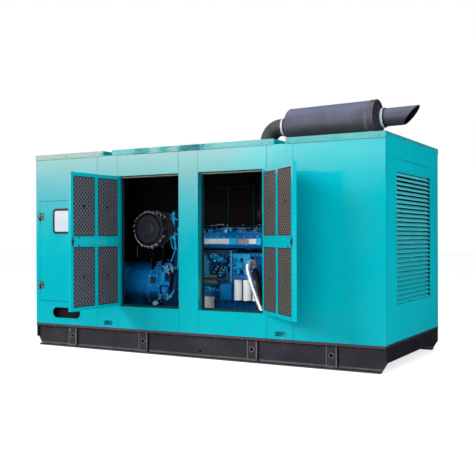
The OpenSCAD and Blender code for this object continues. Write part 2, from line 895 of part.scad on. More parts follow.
// the knuckle below, its pin, and the bracket back to the wall that is stand away
module fixed_knuckle(z, stand) {
    knuckle_z = [z - knuckle_gap - knuckle_h, z - knuckle_gap];
    rod_z(knuckle_r, 0, 0, knuckle_z);
    rod_z(pin_r, 0, 0, [knuckle_z[0], z + knuckle_h - knuckle_gap]);
    slab([-hinge_offset, -hinge_offset / 4], [0, stand], knuckle_z);
    slab([-strap_len, -hinge_offset / 4], [stand - strap_t, stand], knuckle_z);
}

module bay_hinges() {
    for (z = leaf_hinge_zs) {
        translate(left_pin) fixed_knuckle(z, leaf_stand);
        translate(right_pin) mirror([1, 0, 0]) fixed_knuckle(z, leaf_stand);
    }
}

module door_hinges() {
    color(black) {
        bay_hinges();
        for (z = control_hinge_zs) translate(control_pin) fixed_knuckle(z, control_stand);
    }
}

// ---- bay doors ----

module left_place() {
    translate(left_pin) rotate([0, 0, -left_open]) children();
}

module right_place() {
    translate(right_pin) rotate([0, 0, right_open]) mirror([1, 0, 0]) children();
}

// a door with four shallow bays for the liners in its inner face
module leaf_body() {
    difference() {
        slab(leaf_x, leaf_y, leaf_z);
        for (x = liner_xs, z = liner_zs) slab(x, [leaf_y[0] + door_skin_t, leaf_y[1] + cut], z);
    }
}

module leaf() {
    leaf_body();
    for (z = leaf_hinge_zs) moving_knuckle(z);
}

module liners() {
    for (x = liner_xs, z = liner_zs)
        slab([x[0] + liner_gap, x[1] - liner_gap],
             [leaf_y[0] + door_skin_t, leaf_y[1] - liner_recess],
             [z[0] + liner_gap, z[1] - liner_gap]);
}

module latch() {
    handle_x = leaf_x[1] - handle_inset;
    slab([handle_x - handle_w, handle_x], [leaf_y[0] - handle_t, leaf_y[0]],
         [leaf_mid_z - handle_h / 2, leaf_mid_z + handle_h / 2]);
    latch_x = leaf_x[1] - latch_inset;
    slab([latch_x - latch_w, latch_x], [leaf_y[1], leaf_y[1] + latch_t],
         [leaf_mid_z - latch_h / 2, leaf_mid_z + latch_h / 2]);
}

module left_door() {
    color(paint) left_place() leaf();
}

module left_door_liners() {
    color(skid_grey) left_place() liners();
}

module left_door_latch() {
    color(black) left_place() latch();
}

module right_door() {
    color(paint) right_place() leaf();
}

module right_door_liners() {
    color(skid_grey) right_place() liners();
}

module right_door_latch() {
    color(black) right_place() latch();
}

// ---- control door and cabinet ----

module on_window(y) {
    translate([window_x, 0, window_z]) along_y(y) children();
}

module control_door() {
    color(paint)
        translate(control_pin) {
            difference() {
                slab(control_x, control_y, control_z);
                on_window([control_y[0] - cut, control_y[1] + cut])
                    round_rect(window_w, window_h, window_r);
            }
            for (z = control_hinge_zs) moving_knuckle(z);
        }
}

module control_door_lock() {
    lock_x = control_x[1] - handle_inset;
    lock_z = (control_z[0] + control_z[1]) / 2;
    color(black)
        translate(control_pin)
            slab([lock_x - handle_w, lock_x], [control_y[0] - handle_t, control_y[0]],
                 [lock_z - handle_h / 2, lock_z + handle_h / 2]);
}

module window_gasket() {
    color(black)
        translate(control_pin)
            on_window([control_y[0] - gasket_t, control_y[0]])
                difference() {
                    round_rect(window_w + 2 * gasket_w, window_h + 2 * gasket_w, window_r + gasket_w);
                    round_rect(window_w - 2 * gasket_lap, window_h - 2 * gasket_lap,
                               window_r - gasket_lap);
                }
}

module control_window() {
    color([0.9, 0.93, 0.95])
        translate(control_pin)
            on_window([control_y[0], control_y[0] + pane_t])
                round_rect(window_w - 2 * fit, window_h - 2 * fit, window_r - fit);
}

module control_cabinet() {
    x = [-end_x + wall_t + cabinet_inset, -end_x + wall_t + cabinet_inset + cabinet_w];
    y = [wall_in + cabinet_setback, wall_in + cabinet_setback + cabinet_depth];
    z = deck_z + cabinet_leg_h;
    color([0.82, 0.83, 0.84]) {
        slab(x, y, [z, z + cabinet_h]);
        for (leg_x = [x[0], x[1] - cabinet_leg_w], leg_y = [y[0], y[1] - cabinet_leg_w])
            slab([leg_x, leg_x + cabinet_leg_w], [leg_y, leg_y + cabinet_leg_w], [deck_z, z + cut]);
    }
}

// ---- alternator and engine ----

module engine_rails() {
    color(skid_grey)
        for (y = [[-rail_y, -rail_y + rail_w], [rail_y - rail_w, rail_y]])
            slab([body_x[0], block_x[1]], y, [deck_z, rail_z]);
}

// a foot on each rail, up into the round body
module feet(x, r) {
    foot_y = rail_y - foot_w / 2;
    for (side = [-1, 1])
        slab(x, [side * foot_y - foot_w / 2, side * foot_y + foot_w / 2],
             [rail_z, shaft_z - sqrt(max(0, r * r - foot_y * foot_y)) / 2]);
}

module alternator() {
    color(engine_blue) {
        rod_x(alternator_r, body_x, 0, shaft_z);
        rod_x(rear_bracket_r, [body_x[0] - rear_bracket_len, body_x[0]], 0, shaft_z);
        rod_x(drive_end_r - ring_depth, drive_x, 0, shaft_z);
        for (x = [drive_x[0], drive_x[1] - flange_t])
            rod_x(drive_end_r, [x, x + flange_t], 0, shaft_z);
        feet([body_x[0] + foot_w, body_x[1] - foot_w], alternator_r);
    }
}

module flywheel_housing() {
    color(engine_blue) {
        rod_x(flywheel_r, flywheel_x, 0, shaft_z);
        for (x = [flywheel_x[0], flywheel_x[1] - flange_t])
            rod_x(flywheel_r + flange_out, [x, x + flange_t], 0, shaft_z);
        feet([flywheel_x[0] + flange_t, flywheel_x[1] - flange_t], flywheel_r);
    }
}

module engine_block() {
    gear_case = [block_x[1] - gear_case_len, block_x[1]];
    color(engine_blue) {
        slab(block_x, [-crankcase_y, crankcase_y], [deck_z + crankcase_lift, deck_z + crankcase_top]);
        slab(block_x, [-cylinder_y, cylinder_y], [deck_z + crankcase_top, deck_z + cylinder_top]);
        slab(block_x, [-head_y, head_y], [deck_z + cylinder_top, deck_z + head_top]);
        // gear case, front feet and pulley
        slab(gear_case, [-crankcase_y, crankcase_y],
             [rail_z, deck_z + crankcase_lift + cut]);
        rod_x(pulley_r, [block_x[1], block_x[1] + pulley_len], 0, shaft_z);
        // oil cooler housing
        slab([cooler_x, cooler_x + cooler_len], [cooler_face, -cylinder_y], cooler_z);
    }
}

module valve_covers() {
    color(engine_blue)
        for (i = [0 : cylinders - 1])
            translate([block_x[0] + (i + 0.5) * cover_pitch, 0, deck_z + head_top])
                slab([-(cover_pitch - cover_gap) / 2, (cover_pitch - cover_gap) / 2],
                     [-cover_y, cover_y], [0, cover_h]);
}

module intake_manifold() {
    color(engine_blue) slab(manifold_x, [-head_y - intake_w, -head_y], manifold_z);
}

// the manifold, and the box that carries the riser over the valve covers
module exhaust_manifold() {
    box_x = [exhaust_x - exhaust_r, exhaust_x + exhaust_r];
    far_y = head_y + exhaust_w;
    color(exhaust_grey) {
        slab(manifold_x, [head_y, far_y], manifold_z);
        slab(box_x, [head_y, far_y], [manifold_z[1] - cut, exhaust_box_z[1]]);
        slab(box_x, [-exhaust_r, far_y], exhaust_box_z);
    }
}

module oil_pan() {
    pan_top = deck_z + crankcase_lift;
    color(engine_blue)
        slab([block_x[0] + pan_inset, block_x[1] - gear_case_len - fit], [-pan_y, pan_y],
             [pan_top - pan_h, pan_top]);
}

module filter_heads() {
    head_x = [oil_filter_x - oil_filter_pitch / 2,
              oil_filter_x + (oil_filters - 0.5) * oil_filter_pitch];
    color(engine_blue) {
        slab(head_x, [-filter_y - oil_filter_r, cooler_face],
             [cooler_z[0] - filter_head_h / 2, cooler_z[0] + filter_head_h / 2]);
        slab([-fuel_filter_x - fuel_filter_r, -fuel_filter_x + fuel_filter_r],
             [-filter_y - fuel_filter_r, -crankcase_y], [fuel_z, fuel_z + filter_head_h]);
    }
}

module engine_filters() {
    filter_top = cooler_z[0] - filter_head_h / 2;
    color("white") {
        for (i = [0 : oil_filters - 1])
            rod_z(oil_filter_r, oil_filter_x + i * oil_filter_pitch, -filter_y,
                  [filter_top - oil_filter_len, filter_top]);
        rod_z(fuel_filter_r, -fuel_filter_x, -filter_y, [fuel_z - fuel_filter_len, fuel_z]);
    }
}

module silver_pipe() {
    color(steel) swept_tube(pipe_route, pipe_r);
}

module riser_pipe() {
    x = flywheel_x[1] - flange_t - 2 * riser_r;
    y = -riser_y;
    color([0.3, 0.6, 0.85])
        difference() {
            union() {
                rod_z(riser_r, x, y, [shaft_z, deck_z + riser_top]);
                slab([x - riser_r, x + 2 * riser_r], [y - riser_r / 2, y + riser_r / 2],
                     [deck_z + riser_top - riser_bracket_h, deck_z + riser_top]);
            }
            rod_x(flywheel_r + fit, [flywheel_x[0] - cut, flywheel_x[1] + cut], 0, shaft_z);
        }
}

// ---- air cleaner ----

module air_cleaner() {
    rim_ys = [drum_y[0], drum_y[0] + drum_rim_back, drum_y[1] - drum_rim_w];
    color(black) {
        rod_y(drum_r, -drum_x, drum_y, drum_z);
        for (y = rim_ys) rod_y(drum_r + drum_rim, -drum_x, [y, y + drum_rim_w], drum_z);
        rod_y(drum_r / 2, -drum_x, [drum_y[0] - drum_cap_t, drum_y[0]], drum_z);
    }
}

// two plates on the alternator's drive end, and a bracket of bars on its body
module air_cleaner_cradle() {
    mid = -drum_x;
    y = [drum_y[0] + drum_len / 2, drum_y[0] + drum_len / 2 + 2 * cradle_t];
    tie_z = drum_z - drum_r - cradle_w / 3;
    bar_x = [mid - bracket_x - bracket_w / 2, mid - bracket_x + bracket_w / 2];
    bar_z = deck_z + bracket_lift;
    color(black)
        difference() {
            union() {
                for (side = [-1, 1])
                    translate([mid + side * cradle_w / 2, 0, 0])
                        slab([-cradle_t / 2, cradle_t / 2], y, [shaft_z, drum_z]);
                slab([mid - cradle_w / 2, mid + cradle_w / 2], y, [tie_z, tie_z + cradle_w / 2]);
                slab(bar_x, [-bracket_y, -bracket_y + bracket_w], [bar_z, drum_z]);
                slab(bar_x, [-bracket_y, 0], [bar_z, bar_z + bracket_w]);
                slab(bar_x, [-bracket_w, 0], [shaft_z, bar_z + bracket_w]);
                slab([bar_x[0], mid - cradle_w / 2], [y[0], y[0] + bracket_w],
                     [bar_z, bar_z + bracket_w]);
            }
            rod_y(drum_r + fit, mid, [-end_x, end_x], drum_z);
            for (y = [drum_y[0], drum_y[0] + drum_rim_back, drum_y[1] - drum_rim_w])
                rod_y(drum_r + drum_rim + fit, mid, [y - fit, y + drum_rim_w + fit], drum_z);
            rod_x(drive_end_r + fit, drive_x, 0, shaft_z);
            rod_x(alternator_r + fit, [body_x[0], body_x[1] + cut], 0, shaft_z);
        }
}

// ---- radiator ----

module radiator() {
    fan_z = (radiator_z[0] + radiator_z[1]) / 2;
    color(black) {
        difference() {
            slab([radiator_x, radiator_x + radiator_t], [-radiator_y, radiator_y], radiator_z);
            rod_x(shroud_r, [radiator_x - cut, radiator_x + radiator_t / 4], 0, fan_z);
        }
        difference() {
            rod_x(shroud_r + shroud_t, [radiator_x - shroud_len, radiator_x + cut], 0, fan_z);
            rod_x(shroud_r, [radiator_x - shroud_len - cut, radiator_x + 2 * cut], 0, fan_z);
        }
    }
}

// ---- exhaust ----

// the tilted frame of the pipework past the elbow, its axis along +X
module past_elbow() {
    translate([exhaust_x + elbow_r, 0, silencer_z - elbow_r]) rotate([0, -exhaust_tilt, 0])
        translate([0, 0, elbow_r]) children();
}

module exhaust_elbow() {
    color(exhaust_grey) {
        // up from the exhaust box and through the roof's rain collar
        rod_z(exhaust_r, exhaust_x, 0, [exhaust_box_z[1], silencer_z - elbow_r]);
        rod_z(collar_r, exhaust_x, 0, [roof_z, roof_z + collar_t]);
        // the turn, the short straight welded to it and the weld bead
        translate([exhaust_x + elbow_r, 0, silencer_z - elbow_r])
            rotate([90, 0, 0]) mirror([1, 0, 0])
                rotate_extrude(angle = 90 - exhaust_tilt) translate([elbow_r, 0]) circle(exhaust_r);
        past_elbow() {
            rod_x(exhaust_r, [weld_w / 4, elbow_straight], 0, 0);
            rod_x(exhaust_r + weld_t, [-weld_w / 2, weld_w / 2], 0, 0);
        }
    }
}

module silencer() {
    profile = [[0, silencer_x[0] - inlet_cone], [exhaust_r, silencer_x[0] - inlet_cone],
               [silencer_r - 3 * silencer_lip, silencer_x[0]],
               [silencer_r, silencer_x[0] + 2 * silencer_lip_w],
               [silencer_r, silencer_x[1] - silencer_lip_w],
               [silencer_r + silencer_lip, silencer_x[1] - silencer_lip_w],
               [silencer_r + silencer_lip, silencer_x[1]], [silencer_r - silencer_lip, silencer_x[1]],
               [exhaust_r, silencer_x[1] + outlet_cone], [0, silencer_x[1] + outlet_cone]];
    color(exhaust_grey)
        past_elbow() {
            rotate([0, 90, 0]) rotate_extrude() polygon(profile);
            rod_x(exhaust_r, [elbow_straight, silencer_x[0] - inlet_cone + cut], 0, 0);
            rod_x(exhaust_r, [silencer_x[1] + outlet_cone - cut, tail_x], 0, 0);
        }
}

// a saddle under each end, and a strap round the silencer over the second
module silencer_saddles() {
    color(exhaust_grey)
        for (x = saddle_xs)
            difference() {
                union() {
                    translate([exhaust_x + elbow_r + x, 0, 0])
                        slab([-strap_w / 2, strap_w / 2], [-saddle_w / 2, saddle_w / 2],
                             [roof_z, silencer_z - silencer_r / 2]);
                    if (x == saddle_xs[1])
                        past_elbow()
                            rod_x(silencer_r + saddle_strap_t, [x - strap_w / 2, x + strap_w / 2], 0, 0);
                }
                past_elbow() rod_x(silencer_r + fit, [x - strap_w, x + strap_w], 0, 0);
            }
}

// the tail pipe's end is cut at a slant, longer along the top
module tail_pipe() {
    color(exhaust_grey)
        past_elbow()
            difference() {
                rod_x(exhaust_r, [tail_x, tail_x + tail_len], 0, 0);
                rod_x(exhaust_r - exhaust_wall, [tail_x - cut, tail_x + tail_len + cut], 0, 0);
                along_y([-2 * exhaust_r, 2 * exhaust_r])
                    translate([tail_x + tail_len, exhaust_r])
                        polygon([[0, 0], [tail_cut, 0], [tail_cut, -3 * exhaust_r],
                                 [-tail_cut * 1.5, -3 * exhaust_r]]);
            }
}

module pipe_clamps() {
    color(steel)
        past_elbow()
            for (x = [elbow_straight, tail_x])
                difference() {
                    rod_x(exhaust_r + clamp_t, [x - clamp_w / 2, x + clamp_w / 2], 0, 0);
                    rod_x(exhaust_r + fit, [x - clamp_w, x + clamp_w], 0, 0);
                }
}

skid_beam_front();
skid_beam_back();
skid_cross_members();
skid_end_plates();
skid_lugs();
deck_plate();
control_bay_posts();
control_bay_header();
control_bay_sill();
lifting_column_left();
lifting_column_right();
centre_column();
bay_sills();
bay_headers();
door_stops();
radiator_side_panel();
back_panels();
back_lifting_columns();
back_bay_frames();
back_doors();
back_door_hinges();
control_end_wall();
radiator_end_wall();
roof_control_end();
roof_middle();
roof_radiator_end();
roof_channels();
door_hinges();
left_door();
left_door_liners();
left_door_latch();
right_door();
right_door_liners();
right_door_latch();
control_door();
control_door_lock();
window_gasket();
control_window();
control_cabinet();
engine_rails();
alternator();
flywheel_housing();
engine_block();
valve_covers();
intake_manifold();
exhaust_manifold();
oil_pan();
filter_heads();
engine_filters();
silver_pipe();
riser_pipe();
air_cleaner();
air_cleaner_cradle();
radiator();
exhaust_elbow();
silencer();
silencer_saddles();
tail_pipe();
pipe_clamps();
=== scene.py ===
import json
import math

import bpy
from mathutils import Matrix, Vector

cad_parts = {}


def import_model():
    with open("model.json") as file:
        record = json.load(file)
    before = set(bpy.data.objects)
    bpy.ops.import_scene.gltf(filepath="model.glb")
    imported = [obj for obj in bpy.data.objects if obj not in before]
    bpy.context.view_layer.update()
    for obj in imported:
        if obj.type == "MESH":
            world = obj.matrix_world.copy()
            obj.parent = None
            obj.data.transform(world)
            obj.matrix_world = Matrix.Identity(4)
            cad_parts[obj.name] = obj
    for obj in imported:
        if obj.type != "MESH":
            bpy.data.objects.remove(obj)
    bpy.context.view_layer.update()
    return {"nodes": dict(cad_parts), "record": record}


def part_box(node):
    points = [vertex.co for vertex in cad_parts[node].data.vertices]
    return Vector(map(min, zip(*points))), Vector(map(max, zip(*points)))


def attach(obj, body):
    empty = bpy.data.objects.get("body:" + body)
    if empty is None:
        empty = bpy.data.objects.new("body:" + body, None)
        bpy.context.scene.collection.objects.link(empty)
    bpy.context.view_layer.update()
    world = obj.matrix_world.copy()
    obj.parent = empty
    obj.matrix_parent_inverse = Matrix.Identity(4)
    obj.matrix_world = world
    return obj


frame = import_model()
SCENE = bpy.context.scene
SLOT = {s["node"]: s["material_slot"] for s in frame["record"]["subparts"]}
rad = math.radians
CREASE = rad(35)
MM = 0.001
ALONG, LEFTWARD, OUT, UP, DOWN = (1, 0, 0), (-1, 0, 0), (0, -1, 0), (0, 0, 1), (0, 0, -1)


# ---------------------------------------------------------------- materials

def shade(tone, k, plus=0.0):
    return tuple(v * k + plus for v in tone)


class Nodes:
    """A node tree, built in few words."""

    def __init__(self, tree):
        self.nt = tree

    def put(self, socket, v):
        if isinstance(v, bpy.types.NodeSocket):
            self.nt.links.new(v, socket)
        elif isinstance(v, tuple) and len(v) < len(socket.default_value):
            socket.default_value = (*v, 1)
        else:
            socket.default_value = v

    def node(self, kind, *numbered, **named):
        n = self.nt.nodes.new("ShaderNode" + kind)
        for i, v in enumerate(numbered):
            self.put(n.inputs[i], v)
        for k, v in named.items():
            self.put(n.inputs[k], v)
        return n

    def math(self, op, a, b=0.0):
        n = self.node("Math", a, b)
        n.operation = op
        return n.outputs[0]

    def times(self, a, b):
        return self.math("MULTIPLY", a, b)

    def plus(self, a, b):
        return self.math("ADD", a, b)

    def band(self, v, a, b, lo=0.0, hi=1.0):
        """A smooth step from lo at a to hi at b."""
        n = self.node("MapRange", v, a, b, lo, hi)
        n.interpolation_type = "SMOOTHSTEP"
        return n.outputs[0]

    def mix(self, f, a, b):
        n = self.node("Mix", f)
        n.data_type = "RGBA"
        self.put(n.inputs[6], a)
        self.put(n.inputs[7], b)
        return n.outputs[2]


class Surface(Nodes):
    """A material.

    Positions are the object's own, in metres. A noise is given as scale, detail, roughness and stretch.
    """

    def __init__(self, name, rough=0.5, metal=0.0, spec=0.5):
        self.name, self.mat = name, bpy.data.materials.new(name + "_look")
        self.mat.use_nodes = True
        super().__init__(self.mat.node_tree)
        self.ins = self.nt.nodes["Principled BSDF"].inputs
        for k, v in (("Roughness", rough), ("Metallic", metal), ("Specular IOR Level", spec)):
            self.ins[k].default_value = v
        self.pos = self.node("TexCoord").outputs["Object"]

    @property
    def xyz(self):
        return self.node("SeparateXYZ", self.pos).outputs

    @property
    def normal(self):
        return self.node("SeparateXYZ", self.node("NewGeometry").outputs["Normal"]).outputs

    def noise(self, scale, detail=3.0, rough=0.5, stretch=None):
        v = self.node("Mapping", Vector=self.pos, Scale=stretch).outputs[0] if stretch else self.pos
        return self.node("TexNoise", Vector=v, Scale=scale, Detail=detail, Roughness=rough).outputs[0]

    def cloud(self, noise, *limits):
        return self.band(self.noise(*noise), *limits)

    def patches(self, c, tone, noise, *limits):
        """The colour c, with another tone where a noise lies between the limits."""
        return self.mix(self.cloud(noise, *limits), c, tone)

    def colour(self, v):
        self.put(self.ins["Base Color"], v)

    def rough(self, v):
        self.put(self.ins["Roughness"], v)

    def uneven(self, noise, lo, hi):
        self.rough(self.cloud(noise, 0.3, 0.7, lo, hi))

    def bump(self, height, strength=0.3, distance=0.001):
        if isinstance(height, tuple):
            height = self.noise(*height)
        n = self.node("Bump", Strength=strength, Distance=distance, Height=height)
        self.put(self.ins["Normal"], n.outputs[0])


def paint(name, base, rough=0.35, spec=0.5, dirt=0.35, chips=0.72, chip=(0.25, 0.24, 0.22), shift=1.25,
          low=0.3):
    """Sprayed paint: cloudy tone, faint runs, dust towards the bottom, small chips and orange peel."""
    m = Surface(name, rough, spec=spec)
    c = m.patches(shade(base, 1 / shift), base, (1.3, 4, 0.6), 0.3, 0.7)
    c = m.patches(c, shade(base, 0.75, 0.02), (1.0, 5, 0.6, (26, 26, 1.1)), 0.52, 0.78, 0, 0.22)
    grime = m.times(m.cloud((7, 5, 0.7), 0.42, 0.75), m.band(m.xyz[2], low + 1.0, low, 0.15, 1))
    c = m.mix(m.times(grime, dirt), c, (0.20, 0.185, 0.16))
    m.colour(m.patches(c, chip, (55, 3, 0.6), chips, chips + 0.02))
    m.rough(m.plus(m.cloud((4, 4), 0.3, 0.7, rough - 0.06, rough + 0.08), m.times(grime, 0.2)))
    m.bump((420, 2), 0.25, 0.0004)
    return m


def canopy_paint():
    m = Surface("canopy_paint", 0.12)
    base, deep = (0.0, 0.430, 0.500), (0.0, 0.400, 0.472)
    c = m.patches(deep, base, (0.9, 4, 0.55), 0.3, 0.7)
    c = m.patches(c, (0.0, 0.36, 0.40), (1.0, 5, 0.6, (22, 22, 0.8)), 0.55, 0.8, 0, 0.14)
    # painted shade: darker towards the top of the left end, where less light falls; dull grime close to the
    # base, a few chips
    top_left_shade = m.times(m.band(m.xyz[2], 1.6, 2.4), m.band(m.xyz[0], 1.3, 0.3))
    c = m.mix(m.times(top_left_shade, 0.75), c, shade(base, 0.82))
    grime = m.times(m.cloud((6, 5, 0.7), 0.45, 0.75), m.band(m.xyz[2], 0.55, 0.29, 0.0, 0.8))
    c = m.mix(m.times(grime, 0.35), c, (0.03, 0.27, 0.30))
    m.colour(m.patches(c, (0.05, 0.36, 0.38), (60, 3, 0.6), 0.755, 0.77))
    m.rough(m.plus(m.cloud((3, 4), 0.3, 0.7, 0.09, 0.15), m.times(grime, 0.3)))
    m.bump((420, 2), 0.10, 0.0003)
    return m


def slat_painted_light():
    """Canopy paint made paler as painted light on the slats' upper faces, paler still towards the top of the
    bank, with random paler and darker patches.
    """
    m = Surface("lit_slat", 0.45, spec=0.4)
    # painted light: the paleness grows towards the top of the bank
    c = m.mix(m.band(m.xyz[2], 0.7, 2.1), (0.0, 0.44, 0.52), (0.13, 0.66, 0.72))
    c = m.patches(c, (0.02, 0.42, 0.47), (5, 4, 0.6, (1, 1, 6)), 0.4, 0.7, 0, 0.4)
    m.colour(m.patches(c, (0.25, 0.60, 0.66), (24, 3), 0.6, 0.75, 0, 0.4))
    m.uneven((9, 3), 0.35, 0.6)
    return m


def alternator_paint():
    """Engine paint with painted shade: darker on its top faces, darker still on its undersides and towards
    its bottom.
    """
    m = Surface("alt_blue", 0.30, spec=0.4)
    c = m.patches((0.002, 0.27, 0.80), (0.003, 0.36, 1.0), (2.2, 4, 0.6), 0.3, 0.7)
    # painted shade: darker on the undersides, on the top faces and towards the bottom
    c = m.mix(m.band(m.normal[2], -0.10, -0.60, 0, 0.92), c, (0.001, 0.030, 0.110))
    c = m.mix(m.band(m.normal[2], 0.55, 0.95, 0, 0.75), c, (0.002, 0.075, 0.24))
    c = m.mix(m.band(m.xyz[2], 0.75, 0.61, 0, 0.88), c, (0.001, 0.020, 0.075))
    m.colour(m.patches(c, (0.03, 0.14, 0.24), (14, 5, 0.7), 0.55, 0.75, 0, 0.35))
    m.uneven((7, 4), 0.22, 0.42)
    m.bump((240, 2), 0.2, 0.0005)
    return m


# dark and pale stains across the middle of the roof: from x to x in metres, soft edge, tone, strength
STAINS = ((-0.82, -0.56, 0.06, (0.006, 0.20, 0.20), 0.8), (-0.55, -0.43, 0.03, (0.40, 0.47, 0.45), 0.8),
          (-0.42, -0.27, 0.04, (0.004, 0.25, 0.24), 0.7), (-0.26, -0.16, 0.03, (0.30, 0.36, 0.36), 0.8),
          (-0.14, 0.22, 0.05, (0.002, 0.105, 0.135), 0.95), (0.30, 1.20, 0.10, (0.15, 0.43, 0.42), 0.7))


def canopy_roof():
    """The roof's folded edge: chalky, with patches worn dark and smeared pale along its middle, and painted
    shade on the faces turned to +x.
    """
    m = Surface("roof", 0.4, spec=0.3)
    c = m.patches((0.050, 0.345, 0.350), (0.095, 0.400, 0.405), (1.6, 5, 0.6), 0.3, 0.7)
    wave = m.math("SUBTRACT", m.noise(13, 5, 0.75, (1, 1, 4)), 0.5)
    ragged = m.plus(m.xyz[0], m.times(wave, 0.55))
    specks = m.cloud((30, 4, 0.7, (1, 1, 2)), 0.36, 0.56, 0.45, 1.0)
    left = m.band(m.xyz[0], -1.2, -1.3)
    c = m.mix(left, c, (0.16, 0.36, 0.35))
    # painted shade: the faces turned to +x are darker
    c = m.mix(m.band(m.normal[0], 0.5, 0.9, 0, 0.8), c, (0.0, 0.24, 0.27))
    dull = None
    for a, b, soft, tone, k in STAINS:
        here = m.times(m.times(m.times(m.band(ragged, a, a + soft), m.band(ragged, b, b - soft)), specks), k)
        c = m.mix(here, c, tone)
        if b < 0.3:
            dull = here if dull is None else m.math("MAXIMUM", dull, here)
    m.colour(c)
    even = m.plus(m.cloud((5, 4), 0.3, 0.7, 0.30, 0.46), m.times(dull, 0.4))
    m.rough(m.math("SUBTRACT", even, m.times(left, 0.24)))
    m.bump((60, 4, 0.6), 0.12, 0.0006)
    return m


def skid_paint(name="skid", base=(0.026, 0.028, 0.039), worn=0.12):
    """Dull paint: a lighter top flange over a dark line of painted shadow, rust beneath it, a lighter mottled
    band on the foot, and painted shade in the foot's crease and on the end faces.
    """
    m = Surface(name, 0.6, spec=0.2)
    z = m.xyz[2]
    c = m.patches(shade(base, 0.55), base, (3, 5, 0.6), 0.3, 0.72)
    under = m.times(m.band(z, 0.205, 0.245), m.cloud((4.5, 5, 0.7, (1, 1, 6)), 0.46, 0.62))
    c = m.mix(m.times(under, 0.7), c, (0.080, 0.018, 0.020))
    # painted shadow: a dark line along the web under the top flange
    line = m.times(m.band(z, 0.240, 0.246), m.band(z, 0.262, 0.256))
    c = m.mix(m.times(line, 0.9), c, (0.004, 0.004, 0.006))
    top = m.times(m.band(z, 0.256, 0.262), m.cloud((6, 5, 0.7, (1, 1, 3)), 0.25, 0.6, 0.45, 1.0))
    c = m.mix(top, c, (0.060, 0.056, 0.078))
    # foot: lighter mottled top and edge, with a crease of painted shade between
    foot = m.times(m.band(z, 0.046, 0.036), m.cloud((9, 4, 0.7), 0.25, 0.6, 0.5, 1.0))
    c = m.mix(foot, c, (0.125, 0.122, 0.128))
    crease_shade = m.times(m.band(z, 0.007, 0.012), m.band(z, 0.026, 0.020))
    c = m.mix(m.times(crease_shade, 0.85), c, (0.008, 0.008, 0.011))
    scuffs = m.cloud((5.0, 5, 0.75, (2, 2, 1)), 0.60, 0.68)
    c = m.mix(m.times(scuffs, worn), c, (0.13, 0.13, 0.14))
    # painted shade: the end faces are darker
    end = m.math("ABSOLUTE", m.normal[0])
    m.colour(m.mix(m.band(end, 0.5, 0.9, 0, 0.7), c, shade(base, 0.35)))
    m.uneven((12, 3), 0.5, 0.72)
    m.bump((90, 5, 0.7), 0.35)
    return m


def exhaust_coat(name="exhaust", base=(0.088, 0.092, 0.128), rust=0.5):
    m = Surface(name, 0.6, spec=0.2)
    c = m.patches(shade(base, 0.8), shade(base, 1.18), (4, 5, 0.6), 0.3, 0.7)
    c = m.mix(m.times(m.cloud((1.0, 4, 0.6, (3, 26, 26)), 0.52, 0.7), 0.3), c, (0.13, 0.135, 0.16))
    c = m.mix(m.times(m.cloud((26, 5, 0.75), 0.60, 0.68), rust), c, (0.16, 0.07, 0.045))
    # painted shade: the undersides are darker
    c = m.mix(m.band(m.normal[2], 0.0, -0.55, 0, 0.8), c, (0.030, 0.024, 0.022))
    # painted light: the top faces are lighter
    painted_top_light = tuple(v * k for v, k in zip(base, (1.9, 2.0, 2.2)))
    m.colour(m.mix(m.band(m.normal[2], 0.15, 0.75, 0, 0.55), c, painted_top_light))
    m.uneven((9, 3), 0.5, 0.72)
    m.bump((160, 4, 0.6), 0.25, 0.0008)
    return m


def bare_steel(name, base, rough):
    m = Surface(name, rough, 1.0)
    m.colour(m.patches(shade(base, 0.78), base, (22, 4, 0.6), 0.35, 0.7))
    m.uneven((6, 4, 0.6, (1, 1, 1)), rough - 0.07, rough + 0.12)
    m.bump((80, 3, 0.5, (1, 1, 1)), 0.12, 0.0004)
    return m


def bright_pipe():
    """Polished pipe: white to a glance, with long dark streaks."""
    m = Surface("bright_steel", 0.25, 0.55)
    c = m.patches((0.72, 0.76, 0.82), (0.95, 0.97, 1.0), (9, 4, 0.6, (1, 1, 0.25)), 0.35, 0.7)
    m.colour(m.patches(c, (0.30, 0.26, 0.24), (60, 3, 0.6), 0.68, 0.74, 0, 0.5))
    m.uneven((20, 3), 0.18, 0.34)
    return m


def plain(name, base, rough=0.5, spec=0.5, vary=1.35, scale=30, bump=0.2):
    """A moulded or cast surface: slight mottling, uneven gloss and fine grain."""
    m = Surface(name, rough, spec=spec)
    c = m.patches(shade(base, 1 / vary), base, (scale, 4, 0.6), 0.3, 0.7)
    m.colour(m.patches(c, shade(base, 0.7), (scale / 7, 3), 0.35, 0.7, 0, 0.3))
    m.uneven((scale / 3, 3), rough - 0.08, rough + 0.1)
    m.bump((200, 3, 0.6), bump, 0.0006)
    return m


def foam(name):
    m = Surface(name, 0.95, spec=0.1)
    m.colour(m.patches((0.010, 0.009, 0.011), (0.024, 0.022, 0.024), (50, 4, 0.7), 0.3, 0.7))
    m.bump(m.node("TexVoronoi", Vector=m.pos, Scale=170).outputs[0], 0.6, 0.003)
    return m


def window_sheet():
    m = Surface("window", 0.14, spec=0.6)
    c = m.patches((0.50, 0.58, 0.65), (0.62, 0.68, 0.73), (3, 3), 0.3, 0.7)
    m.colour(m.patches(c, (0.5, 0.56, 0.6), (1.0, 4, 0.6, (40, 40, 5)), 0.55, 0.75, 0, 0.25))
    m.uneven((14, 4), 0.08, 0.24)
    return m


